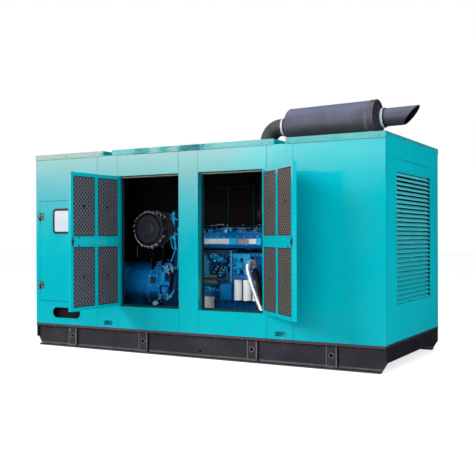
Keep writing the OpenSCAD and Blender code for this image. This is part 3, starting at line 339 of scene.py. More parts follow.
# the record's slots come first, then the materials of single pieces
MATS = {m.name: m.mat for m in (
    canopy_paint(),
    skid_paint(),
    paint("black_metal", (0.016, 0.017, 0.019), 0.38, dirt=0.15, chips=0.76, low=0.5),
    plain("rubber", (0.018, 0.018, 0.02), 0.7, 0.3, bump=0.3),
    window_sheet(),
    paint("cabinet", (0.62, 0.64, 0.65), 0.4, dirt=0.2, low=0.5),
    foam("liner"),
    paint("engine_blue", (0.002, 0.185, 0.600), 0.30, 0.14, 0.2, 0.74, (0.05, 0.10, 0.14), 2.1, 0.4),
    paint("filter_white", (0.95, 0.985, 1.0), 0.3, 0.2, 0.08, 0.77, shift=1.08, low=0.4),
    bright_pipe(),
    plain("drum", (0.046, 0.050, 0.068), 0.5, 0.4, bump=0.25),
    paint("radiator", (0.022, 0.022, 0.025), 0.5, dirt=0.3),
    exhaust_coat(),

    # painted highlights: a lighter copy of the engine blue for fittings and pipes
    paint("highlight_blue", (0.015, 0.58, 1.0), 0.25, 0.2, 0.1, shift=1.35, low=0.4),
    paint("teal_blue", (0.010, 0.30, 0.62), 0.3, dirt=0.2, shift=1.4, low=0.4),
    paint("deep_blue", (0.001, 0.050, 0.190), 0.35, 0.2, 0.2, shift=1.6, low=0.4),
    paint("riser_blue", (0.001, 0.022, 0.085), 0.4, 0.15, 0.2, shift=1.6, low=0.4),
    paint("mid_blue", (0.003, 0.27, 0.74), 0.3, 0.2, 0.1, shift=1.5, low=0.4),
    paint("grey_green", (0.032, 0.120, 0.165), 0.5, dirt=0.4, shift=1.5, low=0.4),
    alternator_paint(),
    plain("edge_highlight_blue", (0.10, 0.50, 0.72), 0.5, 0.3, 2.6),
    plain("gap_shade_navy", (0.002, 0.014, 0.055), 0.6, 0.15),
    # painted glints: a pale blue for small fittings, bolts and strips that stand in for highlights
    plain("glint_blue", (0.42, 0.84, 1.0), 0.6, 0.12, 2.0, 50),
    plain("pale_wire", (0.44, 0.56, 0.64), 0.6, 0.12),
    plain("plate", (0.88, 0.91, 0.95), 0.5, 0.2, 1.3, 22),
    plain("dull_steel", (0.42, 0.43, 0.46), 0.35, 0.6, 2.2, 60),
    bare_steel("bare", (0.34, 0.46, 0.56), 0.40),
    plain("zinc", (0.66, 0.68, 0.70), 0.35, 0.5, 1.2),
    plain("screw_white", (0.72, 0.74, 0.78), 0.4, 0.3),
    plain("clip", (0.13, 0.13, 0.15), 0.35, 0.6, 4.0, 60),
    plain("red", (0.42, 0.05, 0.12)),
    plain("green", (0.02, 0.35, 0.09), 0.4),
    plain("gauge", (0.02, 0.03, 0.035), 0.2, 0.6),
    plain("soft", (0.006, 0.006, 0.008), 0.7, 0.15),
    plain("hose", (0.045, 0.028, 0.022), 0.6, 0.35, bump=0.3),
    plain("seal", (0.012, 0.030, 0.045), 0.7, 0.2),
    plain("pink_seal", (0.62, 0.52, 0.38), 0.7, 0.2),
    foam("foam"),
    plain("mesh", (0.135, 0.138, 0.168), 0.5, 0.4, scale=60),
    plain("mesh_warm", (0.140, 0.118, 0.110), 0.5, 0.4, scale=60),
    plain("mesh_dark", (0.030, 0.020, 0.018), 0.6, 0.2),
    plain("shaded_bar", (0.008, 0.110, 0.100), 0.7, 0.1),
    plain("deep_teal", (0.006, 0.085, 0.115), 0.45),
    plain("slate", (0.006, 0.055, 0.065), 0.8, 0.1),
    plain("seam", (0.0, 0.11, 0.13), 0.7, 0.2),
    plain("pale_bolt", (0.13, 0.36, 0.37), 0.65, 0.15),
    slat_painted_light(),
    canopy_roof(),
    exhaust_coat("rust", (0.10, 0.075, 0.075), 1.0),
    exhaust_coat("elbow", (0.060, 0.056, 0.062), 0.9),
    exhaust_coat("end_plate", (0.018, 0.017, 0.030), 0.2),
    exhaust_coat("soot", (0.012, 0.011, 0.011), 0.15),
    exhaust_coat("dark_rim", (0.022, 0.022, 0.028), 0.3),
    plain("scratch", (0.22, 0.235, 0.26)),
    skid_paint("lug", (0.030, 0.029, 0.033), 0.9),
    plain("worn", (0.30, 0.29, 0.28), 0.5, 0.3, 4.5, 60),
)}


# ---------------------------------------------------------------- shapes

def frame_of(d):
    """Two directions square to d."""
    d = Vector(d).normalized()
    ref = Vector((0, 0, 1)) if abs(d.z) < 0.9 else Vector((1, 0, 0))
    a = d.cross(ref).normalized()
    return d, a, d.cross(a)


def soften(obj, width, segments):
    b = obj.modifiers.new("edges", "BEVEL")
    b.width, b.segments, b.limit_method, b.angle_limit = width * MM, segments, "ANGLE", rad(40)
    b.harden_normals = False


ROOT = (Matrix(), "root")


class Kit:
    """Collects closed shapes, in millimetres, in one mesh that becomes one piece."""

    made = []

    def __init__(self, name, slot, mat=None, on=ROOT, bevel=0):
        self.v, self.f, self.bevel = [], [], bevel
        self.name, self.slot, self.mat = name, slot, MATS[mat or slot]
        self.at, self.body = on
        self.flip = self.at.determinant() < 0
        Kit.made.append(self)

    def add(self, verts, faces):
        n = len(self.v)
        self.v += [self.at @ Vector(p) for p in verts]
        self.f += [tuple(n + i for i in (reversed(f) if self.flip else f)) for f in faces]

    def box(self, x, y, z):
        p = [(a, b, c) for c in sorted(z) for b in sorted(y) for a in sorted(x)]
        self.add(p, [(0, 2, 3, 1), (4, 5, 7, 6), (0, 1, 5, 4), (2, 6, 7, 3), (0, 4, 6, 2), (1, 3, 7, 5)])

    def prism(self, pts, to, start=(0, 0, 0)):
        """A plane outline drawn out between two offsets, which are added to each point."""
        n = len(pts)
        p = [Vector(q) + Vector(shift) for shift in (start, to) for q in pts]
        self.add(p, [tuple(range(n - 1, -1, -1)), tuple(range(n, 2 * n))] +
                 [(i, (i + 1) % n, n + (i + 1) % n, n + i) for i in range(n)])

    def lathe(self, at, d, profile, n=24):
        """A profile of (radius, distance along d) pairs turned round the axis through at."""
        at = Vector(at)
        d, a, b = frame_of(d)
        v, f = [], []
        for r, h in profile:
            for i in range(n):
                t = 2 * math.pi * i / n
                v.append(at + d * h + (a * math.cos(t) + b * math.sin(t)) * r)
        for j in range(len(profile) - 1):
            for i in range(n):
                k = (i + 1) % n
                f.append((j * n + i, j * n + k, (j + 1) * n + k, (j + 1) * n + i))
        f.append(tuple(range(n - 1, -1, -1)))
        f.append(tuple((len(profile) - 1) * n + i for i in range(n)))
        self.add(v, f)

    def stub(self, at, d, *steps, n=24):
        """A turned shape that rises straight from its foot to the first of its (radius, distance) steps."""
        self.lathe(at, d, [(steps[0][0], 0), *steps], n)

    def rod(self, p, q, r, n=16, edge=0.0):
        p, q = Vector(p), Vector(q)
        h = (q - p).length
        e = min(edge, h / 3, r / 2)
        prof = [(r - e, 0), (r, e), (r, h - e), (r - e, h)] if e else [(r, 0), (r, h)]
        self.lathe(p, q - p, prof, n)

    def ring(self, at, d, big, small, n=32, m=8):
        at = Vector(at)
        d, a, b = frame_of(d)
        v, f = [], []
        for i in range(n):
            t = 2 * math.pi * i / n
            o = a * math.cos(t) + b * math.sin(t)
            for j in range(m):
                s = 2 * math.pi * j / m
                v.append(at + o * (big + small * math.cos(s)) + d * small * math.sin(s))
        for i in range(n):
            for j in range(m):
                i2, j2 = (i + 1) % n, (j + 1) % m
                f.append((i * m + j, i2 * m + j, i2 * m + j2, i * m + j2))
        self.add(v, f)

    def tube(self, pts, r, n=10, smooth=5):
        """A round tube through the points, on a smooth curve."""
        pts = [Vector(p) for p in pts]
        line = []
        for i in range(len(pts) - 1):
            p0, p1, p2, p3 = pts[max(i - 1, 0)], pts[i], pts[i + 1], pts[min(i + 2, len(pts) - 1)]
            for k in range(smooth):
                t = k / smooth
                line.append(0.5 * ((2 * p1) + (p2 - p0) * t + (2 * p0 - 5 * p1 + 4 * p2 - p3) * t * t
                                   + (3 * p1 - p0 - 3 * p2 + p3) * t ** 3))
        line.append(pts[-1])
        v, f = [], []
        d, a, b = frame_of(line[1] - line[0])
        for i, p in enumerate(line):
            d = (line[min(i + 1, len(line) - 1)] - line[max(i - 1, 0)]).normalized()
            a = (a - d * a.dot(d)).normalized()
            b = d.cross(a)
            v += [p + (a * math.cos(2 * math.pi * k / n) + b * math.sin(2 * math.pi * k / n)) * r
                  for k in range(n)]
        for i in range(len(line) - 1):
            f += [(i * n + k, i * n + (k + 1) % n, (i + 1) * n + (k + 1) % n, (i + 1) * n + k)
                  for k in range(n)]
        f += [tuple(range(n - 1, -1, -1)), tuple((len(line) - 1) * n + k for k in range(n))]
        self.add(v, f)

    def bolt(self, at, d, r=9, washer=True):
        """A hexagon head on its washer."""
        if washer:
            self.stub(at, d, (r * 1.75, r * 0.18), (r * 1.6, r * 0.26), n=14)
        self.lathe(at, d, [(r * 1.15, r * 0.2), (r * 1.15, r * 0.8), (r * 0.95, r * 0.95)], 6)

    def dome(self, at, d, r=8, h=0.5, n=10):
        self.lathe(at, d, [(r, 0), (r * 0.92, r * h * 0.5), (r * 0.6, r * h * 0.87), (r * 0.2, r * h)], n)

    def finish(self):
        mesh = bpy.data.meshes.new(self.name)
        mesh.from_pydata([v * MM for v in self.v], [], self.f)
        mesh.validate()
        mesh.shade_smooth()
        mesh.set_sharp_from_angle(angle=CREASE)
        mesh.materials.append(self.mat)
        obj = bpy.data.objects.new(self.name, mesh)
        SCENE.collection.objects.link(obj)
        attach(obj, self.body)
        if self.bevel:
            soften(obj, self.bevel, 1)


def about(middle, half):
    return middle - half, middle + half


def span(node):
    lo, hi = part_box(node)
    return Vector(lo) / MM, Vector(hi) / MM


# ---------------------------------------------------------------- the frame's numbers, from the CAD

lo, hi = span("centre_column")
P3, P4, FRONT = lo.x, hi.x, lo.y
DECK, WALL_TOP = lo.z, hi.z
P1, P2 = (v.x for v in span("lifting_column_left"))
P5, P6 = (v.x for v in span("lifting_column_right"))
END = span("radiator_end_wall")[1].x
ROOF = span("roof_middle")[1].z
BAY_Z = (span("bay_sills")[1].z, span("bay_headers")[0].z)
ROOF_IN = ROOF - 30
ROOF_CAPS = ((-2409, -1280), (-1125, 1120), (1276, 2409))
SIDE = 1000                                            # half the width across the wall panels
LUG_X = (-1795, -678, 835, 1795)
LIP = 24
BAYS = ((P2, P3), (P4, P5))
DOOR_GAP, HINGE_OFF, DOOR_T, DOOR_PROUD = 7, 10, 42, 3
LEAF_X = (HINGE_OFF, HINGE_OFF + (P3 - P2) - 2 * DOOR_GAP)
LEAF_Y = (HINGE_OFF, HINGE_OFF + DOOR_T)
LEAF_Z = (BAY_Z[0] + DOOR_GAP, BAY_Z[1] - DOOR_GAP)
MID_X, MID_Z = sum(LEAF_X) / 2, sum(BAY_Z) / 2
HINGE_Z, CONTROL_HINGE_Z = (LEAF_Z[0] + 200, MID_Z, LEAF_Z[1] - 200), (789, 1688)
LINER_X = ((LEAF_X[0] + 42, MID_X - 28), (MID_X + 28, LEAF_X[1] - 42))
LINER_Z = ((LEAF_Z[0] + 42, MID_Z - 62.5), (MID_Z + 62.5, LEAF_Z[1] - 42))
PIN_Y = FRONT - HINGE_OFF - DOOR_PROUD
LEFT_PIN, RIGHT_PIN = P2 + DOOR_GAP - HINGE_OFF, P5 - DOOR_GAP + HINGE_OFF
# where a piece rides: the matrix of its own measures, and its body
MIRROR_X, MIRROR_Y = Matrix.Scale(-1, 4, ALONG), Matrix.Scale(-1, 4, OUT)
AT_LEFT, AT_RIGHT = (Matrix.Translation((x, PIN_Y, 0)) for x in (LEFT_PIN, RIGHT_PIN))
LEFT = (AT_LEFT @ Matrix.Rotation(rad(-90), 4, "Z"), "left_door_body")
RIGHT = (AT_RIGHT @ Matrix.Rotation(rad(137.5), 4, "Z") @ MIRROR_X, "right_door_body")
BACK_LEFT = (MIRROR_Y @ AT_LEFT, "root")
BACK_RIGHT = (MIRROR_Y @ AT_RIGHT @ MIRROR_X, "root")
CONTROL_PIN = -END + 78
CONTROL = (Matrix.Translation((CONTROL_PIN, FRONT - 16, 0)), "control_door_body")


# ---------------------------------------------------------------- camera and light

def look():
    """The photo's camera, 1.4 m up, at the front right."""
    data = bpy.data.cameras.new("camera")
    data.lens = 58.93
    data.sensor_width = 36.0
    cam = bpy.data.objects.new("camera", data)
    SCENE.collection.objects.link(cam)
    cam.location = (4.9919, -8.6542, 1.4164)
    cam.rotation_euler = (rad(90 - 0.014), rad(0.173), rad(29.52))
    SCENE.camera = cam


def softbox(name, at, target, size, power, mirrored=False):
    d = bpy.data.lights.new(name, "AREA")
    d.shape, d.size, d.size_y, d.energy = "RECTANGLE", size[0], size[1], power
    o = bpy.data.objects.new(name, d)
    o.location = at
    o.rotation_euler = (Vector(target) - Vector(at)).to_track_quat("-Z", "Y").to_euler()
    o.visible_glossy = mirrored
    SCENE.collection.objects.link(o)


def world():
    """White to the camera, a soft fill for the surfaces, and a haze over the horizon for reflections."""
    SCENE.world = bpy.data.worlds.new("world")
    SCENE.world.use_nodes = True
    w = Nodes(SCENE.world.node_tree)
    x, y, z = w.node("SeparateXYZ", w.node("TexCoord").outputs["Generated"]).outputs
    # the haze brightens with the square of the height; towards the right it starts higher and levels out
    near = w.node("Clamp", z, Max=0.13).outputs[0]
    amount = w.node("Mix", w.band(x, -0.52, -0.42))
    w.put(amount.inputs[2], w.times(w.times(near, near), 820.0))
    w.put(amount.inputs[3], w.band(z, 0.076, 0.110, 0.0, 5.0))
    amount = amount.outputs[0]
    for v in (w.band(z, 0.14, 0.30, 1.0, 0.06), w.band(x, -0.30, -0.46, 0.66, 1.1), w.band(y, 0.1, -0.3),
              w.band(x, 0.0, -0.30, 0.3, 1.0)):
        amount = w.times(amount, v)
    warm = w.mix(w.band(x, -0.52, -0.42), (1.0, 0.44, 0.20), (0.86, 1.0, 0.66))
    tone = w.mix(w.band(z, 0.10, 0.22), warm, (0.85, 0.92, 1.0))
    haze = w.node("Background", tone, w.plus(amount, 0.006))
    fill = w.node("Background", (0.90, 0.96, 1.0), 0.42)
    white = w.node("Background", (1.0, 1.0, 1.0))
    path = w.node("LightPath").outputs
    object_sees = w.node("MixShader", path["Is Glossy Ray"], fill.outputs[0], haze.outputs[0])
    seen = w.node("MixShader", path["Is Camera Ray"], object_sees.outputs[0], white.outputs[0])
    w.put(w.nt.nodes["World Output"].inputs[0], seen.outputs[0])


def lights():
    softbox("key", (-9.0, -13.0, 8.5), (0, -1, 1.2), (8, 6), 1640, mirrored=True)
    softbox("top", (0.5, -1.5, 9.5), (0, 0, 1.0), (9, 9), 330)
    softbox("right", (10.0, -2.0, 8.0), (2.4, 0, 1.3), (5, 5), 128.7)
    softbox("low_right", (13.0, -3.5, 0.9), (1.0, -0.8, 1.1), (5, 1.5), 741)
    softbox("front", (3.1, -13.0, 3.4), (-0.4, -0.4, 1.1), (5.4, 3), 435, mirrored=True)


def floor():
    """A pale floor that reads white to the camera save for the soft shadow round the skid."""
    k, z = 60.0, -0.001
    mesh = bpy.data.meshes.new("floor")
    mesh.from_pydata([(-k, -k, z), (k, -k, z), (k, k, z), (-k, k, z)], [], [(0, 1, 2, 3)])
    obj = bpy.data.objects.new("floor", mesh)
    SCENE.collection.objects.link(obj)
    m = Surface("floor_pale", 1.0, spec=0.0)
    path = m.node("LightPath").outputs
    pale = m.mix(m.noise(0.6, 3), (0.60, 0.60, 0.60), (0.66, 0.66, 0.66))
    m.colour(m.mix(path["Is Glossy Ray"], pale, (0.02, 0.02, 0.025)))
    m.ins["Emission Color"].default_value = (1, 1, 1, 1)
    m.put(m.ins["Emission Strength"], m.times(path["Is Camera Ray"], 0.72))
    mesh.materials.append(m.mat)


# ---------------------------------------------------------------- the CAD pieces, canopy and bay doors

OWN = {"pipe_clamps": "zinc", "alternator": "alt_blue", "exhaust_elbow": "elbow", "roof_control_end": "roof",
       "roof_middle": "roof", "roof_radiator_end": "roof", "skid_lugs": "lug", "exhaust_manifold": "soot",
       "air_cleaner_cradle": "soft", "door_stops": "slate", "flywheel_housing": "deep_blue",
       "riser_pipe": "riser_blue"}

BEVELS = {"canopy_paint": 3, "skid": 3, "engine_blue": 6, "liner": 1}
THIN_EDGED = ("control_end_wall", "radiator_end_wall")
ROUND = ("silver_pipe", "exhaust_elbow", "silencer", "tail_pipe", "pipe_clamps", "air_cleaner",
         "window_gasket", "control_window", "alternator", "flywheel_housing", "riser_pipe", "engine_filters")


def dress_nodes():
    """Gives every CAD node its material and a small bevel, which draws the seams between panels."""
    for name, obj in frame["nodes"].items():
        obj.data.materials.clear()
        obj.data.materials.append(MATS[OWN.get(name, SLOT[name])])
        if name in ROUND:
            obj.data.shade_smooth()
            obj.data.set_sharp_from_angle(angle=CREASE)
        else:
            soften(obj, 1 if name in THIN_EDGED else BEVELS.get(SLOT[name], 1.5), 2)


def canopy_fasteners():
    k = Kit("canopy_bolts", "canopy_paint", "pale_bolt")
    z = WALL_TOP + 27
    for s in (-1, 1):
        for x in (-2100, -1871, -1415, -1300, -1002, -350, 300, 983, 1083, 1303, 1400, 1865, 2338):
            k.dome((x, s * (SIDE + 4), z), (0, s, 0), 10.5, 0.6, 12)
        # one screw high on each lifting column
        for x in (-1277, 1277):
            k.dome((x, s * SIDE, 2359), (0, s, 0), 8, 0.6, 10)
        for y in (-850, -300, 300, 850):
            k.dome((s * (END + 4), y, z), (s, 0, 0), 8, 0.6, 10)


def seals():
    """Rubber seals on the faces of the door stops, and dark strips of painted shade on the sides of the bays.
    """
    k = Kit("door_seals_and_jamb_shade", "rubber", "seal", bevel=1)
    head = Kit("header_seals", "rubber", "pink_seal", bevel=1)
    for s in (-1, 1):
        for a, b in BAYS:
            y = (s * 918, s * 921)
            w = LIP - 6
            for x in ((a + 1, a + LIP - 1), (b - LIP + 1, b - 1)):
                k.box(x, y, (BAY_Z[0] + 20, BAY_Z[1] - 20))
            # painted shade: dark strips on the sides of the frame that face into the bay
            for x in ((a + LIP - 0.6, a + LIP + 1.4), (b - LIP - 1.4, b - LIP + 0.6)):
                k.box(x, (s * 917, s * 905), (BAY_Z[0] + LIP + 4, BAY_Z[1] - LIP - 4))
            k.box((a + 20, b - 20), y, (BAY_Z[0] + 3, BAY_Z[0] + w))
            k.box((a + 3, b - 3), y, (BAY_Z[1] - 7, BAY_Z[1] - 0.5))
            head.box((a + 4, b - 20), y, (BAY_Z[1] - w, BAY_Z[1] - 7))


def linings():
    k = Kit("wall_linings", "liner", "foam", bevel=2)
    g = 2
    t = 14
    # end walls beside and above the louvres
    for s in (-1, 1):
        x = (s * (END - 60 - g), s * (END - 60 - g - t))
        for y in ((-930, -660), (660, 930)):
            k.box(x, y, (DECK + 20, ROOF_IN - 20))
        k.box(x, (-655, 655), (2130, ROOF_IN - 20))
        k.box(x, (-655, 655), (DECK + 20, 670))
    # front and back walls at the two ends, columns, and the back's sills
    for s in (-1, 1):
        y = (s * (940 - g), s * (940 - g - t))
        for x in ((-END + 77, P1 - 20), (P6 + 20, END - 77)):
            if s > 0 or x[0] > 0:
                k.box(x, y, (DECK + 20, ROOF_IN - 20))
        y = (s * (900 - g), s * (900 - g - t))
        e = LIP + 2 if s > 0 else -30
        for x in ((P1 + 12, P2 + e), (P3 - e, P4 + e), (P5 - e, P6 - 12)):
            k.box(x, y, (DECK + 20, WALL_TOP - 20))
        e = LIP + 2 if s > 0 else -10
        for a, b in BAYS:
            k.box((a - 20, b + 20), y, (DECK + 20, BAY_Z[0] + e))
            k.box((a - 20, b + 20), y, (BAY_Z[1] - e, WALL_TOP - 20))
    # the roof
    zz = (ROOF_IN - g - t, ROOF_IN - g)
    for x in ((-END + 90, -1300), (-1100, 400), (710, 1100), (1300, END - 90)):
        k.box(x, (-920, 920), zz)
    # painted shade: a faint dark-teal strip for the back column's edge
    edge = Kit("back_column_edge", "canopy_paint", "shaded_bar")
    edge.box((-151, -129), (879, 884), (620, 2120))


def lattice(k, x, z, y, pitch=53, w=12.5, t=1.6):
    """Diamond mesh: two families of strands at 45 degrees, clipped to the panel."""
    wide, high = x[1] - x[0], z[1] - z[0]
    for fam in (1, -1):
        for i in range(-int(wide / pitch) - 1, int((high + wide) / pitch) + 2):
            c = i * pitch                              # height at which the strand leaves the left edge
            a, b = (-c, high - c) if fam > 0 else (c - high, c)
            a, b = max(a, 0), min(b, wide)
            if b - a < 4:
                continue
            p = [Vector((x[0] + u, y + (0.5 if fam > 0 else 0), z[0] + c + fam * u)) for u in (a, b)]
            n = Vector((-fam, 0, 1)).normalized() * w / 2
            k.prism([p[0] - n, p[1] - n, p[1] + n, p[0] + n], (0, t, 0))


def door_faces(name, on, mesh):
    """The mesh panels, edging, washers and bolts on a bay door's inner face."""
    face, y0 = LEAF_Y[1], LEAF_Y[1] - 6
    k = Kit(name + "_mesh", "liner", mesh, on)
    for x in LINER_X:
        for z in LINER_Z:
            lattice(k, (x[0] + 4, x[1] - 4), (z[0] + 4, z[1] - 4), y0 + 1.6)
    k = Kit(name + "_edging", "rubber", on=on)
    for x in LINER_X:
        for z in LINER_Z:
            e = 11
            for a, b in (((x[0] + 1, x[0] + e), z), ((x[1] - e, x[1] - 1), z)):
                k.box(a, (y0 + 0.4, face - 1), (b[0] + 1, b[1] - 1))
            for b in ((z[0] + 1, z[0] + e), (z[1] - e, z[1] - 1)):
                k.box((x[0] + e, x[1] - e), (y0 + 0.4, face - 1), b)
    k = Kit(name + "_bolts", "black_metal", on=on)
    for x in LINER_X:
        for z in LINER_Z:
            c = ((x[0] + x[1]) / 2, face - 2.2, (z[0] + z[1]) / 2)
            k.stub(c, (0, 1, 0), (22, 1.5), (20, 2.2), n=20)
            k.bolt((c[0], c[1] + 1.8, c[2]), (0, 1, 0), 6, False)
    for x in (770, 872):
        for z in about(MID_Z, 45):
            k.bolt((x, face, z), (0, 1, 0), 7.5)
    for z in about(MID_Z, 40):
        k.bolt((LEAF_X[0] + 16, face, z), (0, 1, 0), 6)


def door_outside(name, on):
    """The lock on a bay door's outer face, its screws, and the screws of the hinge straps."""
    k = Kit(name + "_handle", "black_metal", on=on, bevel=1.2)
    x0, x1 = LEAF_X[1] - 42 - 70, LEAF_X[1] - 42
    y = LEAF_Y[0] - 14
    k.box((x0 + 10, x1 - 10), (y - 4, y + 1), (MID_Z - 75, MID_Z + 30))
    k.prism([(x0 + 16, y - 4, MID_Z - 70), (x0 + 16, y - 14, MID_Z - 66),
             (x0 + 16, y - 16, MID_Z + 10), (x0 + 16, y - 4, MID_Z + 24)],
            (38, 0, 0))
    k.stub(((x0 + x1) / 2, y + 1, MID_Z + 60), OUT, (15, 6), (12, 9), n=20)
    k = Kit(name + "_screws", "bright_steel", "bare", on)
    for x in (x0 + 7, x1 - 7):
        for z in about(MID_Z, 82):
            k.dome((x, y, z), OUT, 4, 0.5, 10)
    for z in HINGE_Z:
        for zz in (z + 13, z + 37):
            k.dome((36, LEAF_Y[0] - 4, zz), OUT, 4.5, 0.5, 10)


def wall_hinge_screws():
    k = Kit("hinge_screws", "bright_steel", "bare")
    for s in (-1, 1):
        for z in HINGE_Z:
            for x in (LEFT_PIN - 36, RIGHT_PIN + 36):
                for zz in (z - 14, z - 38):
                    k.dome((x, s * (SIDE + 4), zz), (0, s, 0), 4.5, 0.5, 10)
    for z in CONTROL_HINGE_Z:
        for zz in (z - 14, z - 38):
            k.dome((CONTROL_PIN - 36, -SIDE - 4, zz), OUT, 5, 0.5, 10)


# ---------------------------------------------------------------- engine and alternator

def wobble(i, k=1.0):
    """A repeatable spread of values in 0..1."""
    return (i * 0.6180339887 * k + 0.37) % 1.0


def engine_covers():
    """Six rocker covers with their bolts, the pipes and wires over them, and the bright rail."""
    k = Kit("cover_caps", "engine_blue", bevel=3)
    pale = Kit("injector_lines", "bright_steel", "bare")
    dark = Kit("cover_loom", "rubber", "soft")
    wire = Kit("pale_wires", "rubber", "pale_wire")
    pitch = 1410 / 6
    for i in range(6):
        x = -610 + pitch * (i + 0.5)
        # a raised cap with a rib, four bolts and an injector clamp on each cover
        k.prism([(x - 80, -145, 1548), (x + 80, -145, 1548), (x + 66, -120, 1560),
                 (x - 66, -120, 1560)], (0, 200, 0))
        k.box(about(x, 98), (-176, -168), (1472, 1492))
        k.box(about(x, 12), (-186, -168), (1480, 1546))
        for dx in (-85, 85):
            pale.bolt((x + dx, -170, 1532), OUT, 9)
            pale.bolt((x + dx, 60, 1550), UP, 10)
        pale.bolt((x, -50, 1560), UP, 12)
        # injector line from the rail up to the cover
        pale.tube([(x + 55, -415, 1462), (x + 55, -380, 1500 + 20 * wobble(i)),
                   (x + 30, -270, 1515), (x + 18, -165, 1522)], 5.5, 8, 4)
        pale.stub((x + 55, -413, 1438), UP, (12, 22), (8, 30), n=6)
        dark.box((x - 50, x - 30), (-205, -168), (1500, 1540))
    # clusters of fittings on the head's front edge, as upright blocks in the lighter blue of painted
    # highlights
    light = Kit("cover_fittings", "engine_blue", "highlight_blue", bevel=2)
    for x, z, w, h in ((-252, 1472, 30, 85), (67, 1465, 42, 85), (262, 1452, 16, 80),
                       (432, 1452, 42, 30), (467, 1470, 14, 60), (502, 1475, 16, 55),
                       (145, 1500, 24, 40), (-140, 1478, 22, 60)):
        light.box(about(x, w / 2), (-262, -205), about(z, h / 2))
        light.rod((x, -235, z + h / 2), (x, -235, z + h / 2 + 14), w * 0.36, 10)
    light.tube([(110, -255, 1458), (160, -262, 1452), (248, -262, 1451), (275, -250, 1462)], 8)
    light.tube([(-230, -250, 1444), (-73, -262, 1438), (45, -262, 1446)], 7)
    # loom with loops of pale wire standing up from it
    dark.tube([(-600, -215, 1548), (-300, -220, 1540), (50, -215, 1548), (400, -220, 1542),
               (760, -215, 1548)], 11)
    wire.tube([(-252, -200, 1510), (-190, -200, 1545), (-117, -200, 1563), (-13, -200, 1574),
               (14, -200, 1560), (16, -200, 1512)], 4.2, 8)
    wire.tube([(100, -200, 1512), (160, -200, 1532), (300, -205, 1520), (430, -200, 1528),
               (520, -200, 1505)], 3.8, 8)
    wire.tube([(-500, -200, 1540), (-420, -200, 1600), (-330, -200, 1572), (-270, -200, 1520)], 3.8, 8)
    wire.tube([(238, -200, 1495), (252, -200, 1545), (300, -200, 1520), (315, -200, 1470)], 3.6, 8)
    glint_blue = Kit("head_glint_fittings", "engine_blue", "glint_blue", bevel=0.8)
    for i in range(26):
        x, z = -262 + 30 * i, 1440 + 85 * wobble(i, 1.7)
        r = 5 + 5 * wobble(i, 4.1)
        kit = glint_blue if i % 3 == 0 else light
        if i % 2:
            kit.rod((x, -262, z - 2 * r), (x + 0.6 * r, -262, z + 2.5 * r), r * 0.7, 8, 1)
        else:
            kit.stub((x, -256, z), OUT, (r, 8), (r * 0.5, 12), n=6)
    glint_blue.box((72, 102), (-268, -262), (1428, 1502))
    glint_blue.box((-250, -228), (-268, -262), (1430, 1490))
    glint_blue.box((428, 462), (-268, -262), (1440, 1462))
    glint_blue.rod((170, -266, 1456), (262, -266, 1458), 6, 10)
    glint_blue.rod((296, -262, 1428), (292, -262, 1500), 5, 10)
    glint_blue.rod((515, -262, 1436), (518, -262, 1480), 6, 10)
    glint_blue.tube([(480, -262, 1450), (495, -262, 1490), (512, -262, 1525), (520, -250, 1540)], 5, 8)


def manifold_dress():
    f = -435
    plate = Kit("manifold_plates", "engine_blue", "plate", bevel=1)
    blue = Kit("fuel_rail", "engine_blue", "highlight_blue", bevel=2)
    dark = Kit("manifold_gap_shade", "rubber", "soft")
    bolt = Kit("manifold_bolts", "bright_steel", "highlight_blue")
    dull = Kit("manifold_dull_plate", "engine_blue", "dull_steel", bevel=1)
    rail = Kit("manifold_rail", "engine_blue", bevel=2)
    for a, b in ((-300, 230), (500, 604)):
        plate.box((a, b), (f - 4, f + 2), (1330, 1392))
    dull.box((345, 492), (f - 4, f + 2), (1326, 1394))
    rail.box((-400, 660), (f - 6, f + 2), (1404, 1432))
    blue.box((240, 336), (f - 9, f + 2), (1322, 1400))
    blue.box((612, 672), (f - 10, f + 2), (1318, 1400))
    blue.rod((-440, f - 2, 1398), (240, f - 2, 1398), 6.5, 12, 2)
    rail.rod((-440, f + 6, 1452), (660, f + 6, 1452), 10, 14, 3)
    for i in range(12):
        x = -400 + i * 93
        bolt.bolt((x, f - 5, 1418), OUT, 6)
        if i % 3 == 0:
            bolt.bolt((x + 30, f, 1318), OUT, 6)
    for a, b, c in ((-300, 230, 8), (500, 604, 3)):
        for i in range(c):
            bolt.dome((a + (b - a) * (i + 0.5) / c, f - 4, 1391), OUT, 3.5)
    # the manifold's lower side, and painted shade beneath it: a black box in the gap and a black tube along
    # it
    blue2 = Kit("manifold_floor", "engine_blue", bevel=2)
    blue2.prism([(-490, -428, 1312), (-490, -405, 1280), (-490, -280, 1268), (-490, -260, 1312)],
                (1170, 0, 0))
    dark.box((-500, 700), (-262, -245), (1225, 1270))
    dark.tube([(-500, -290, 1240), (-200, -300, 1250), (100, -290, 1236), (450, -300, 1248),
               (720, -285, 1240)], 12)


CASE, BLOCK, SUMP = -300, -250, -220                   # front faces of the crankcase, the block and the sump
FILTER_X = (390, 516, 642)


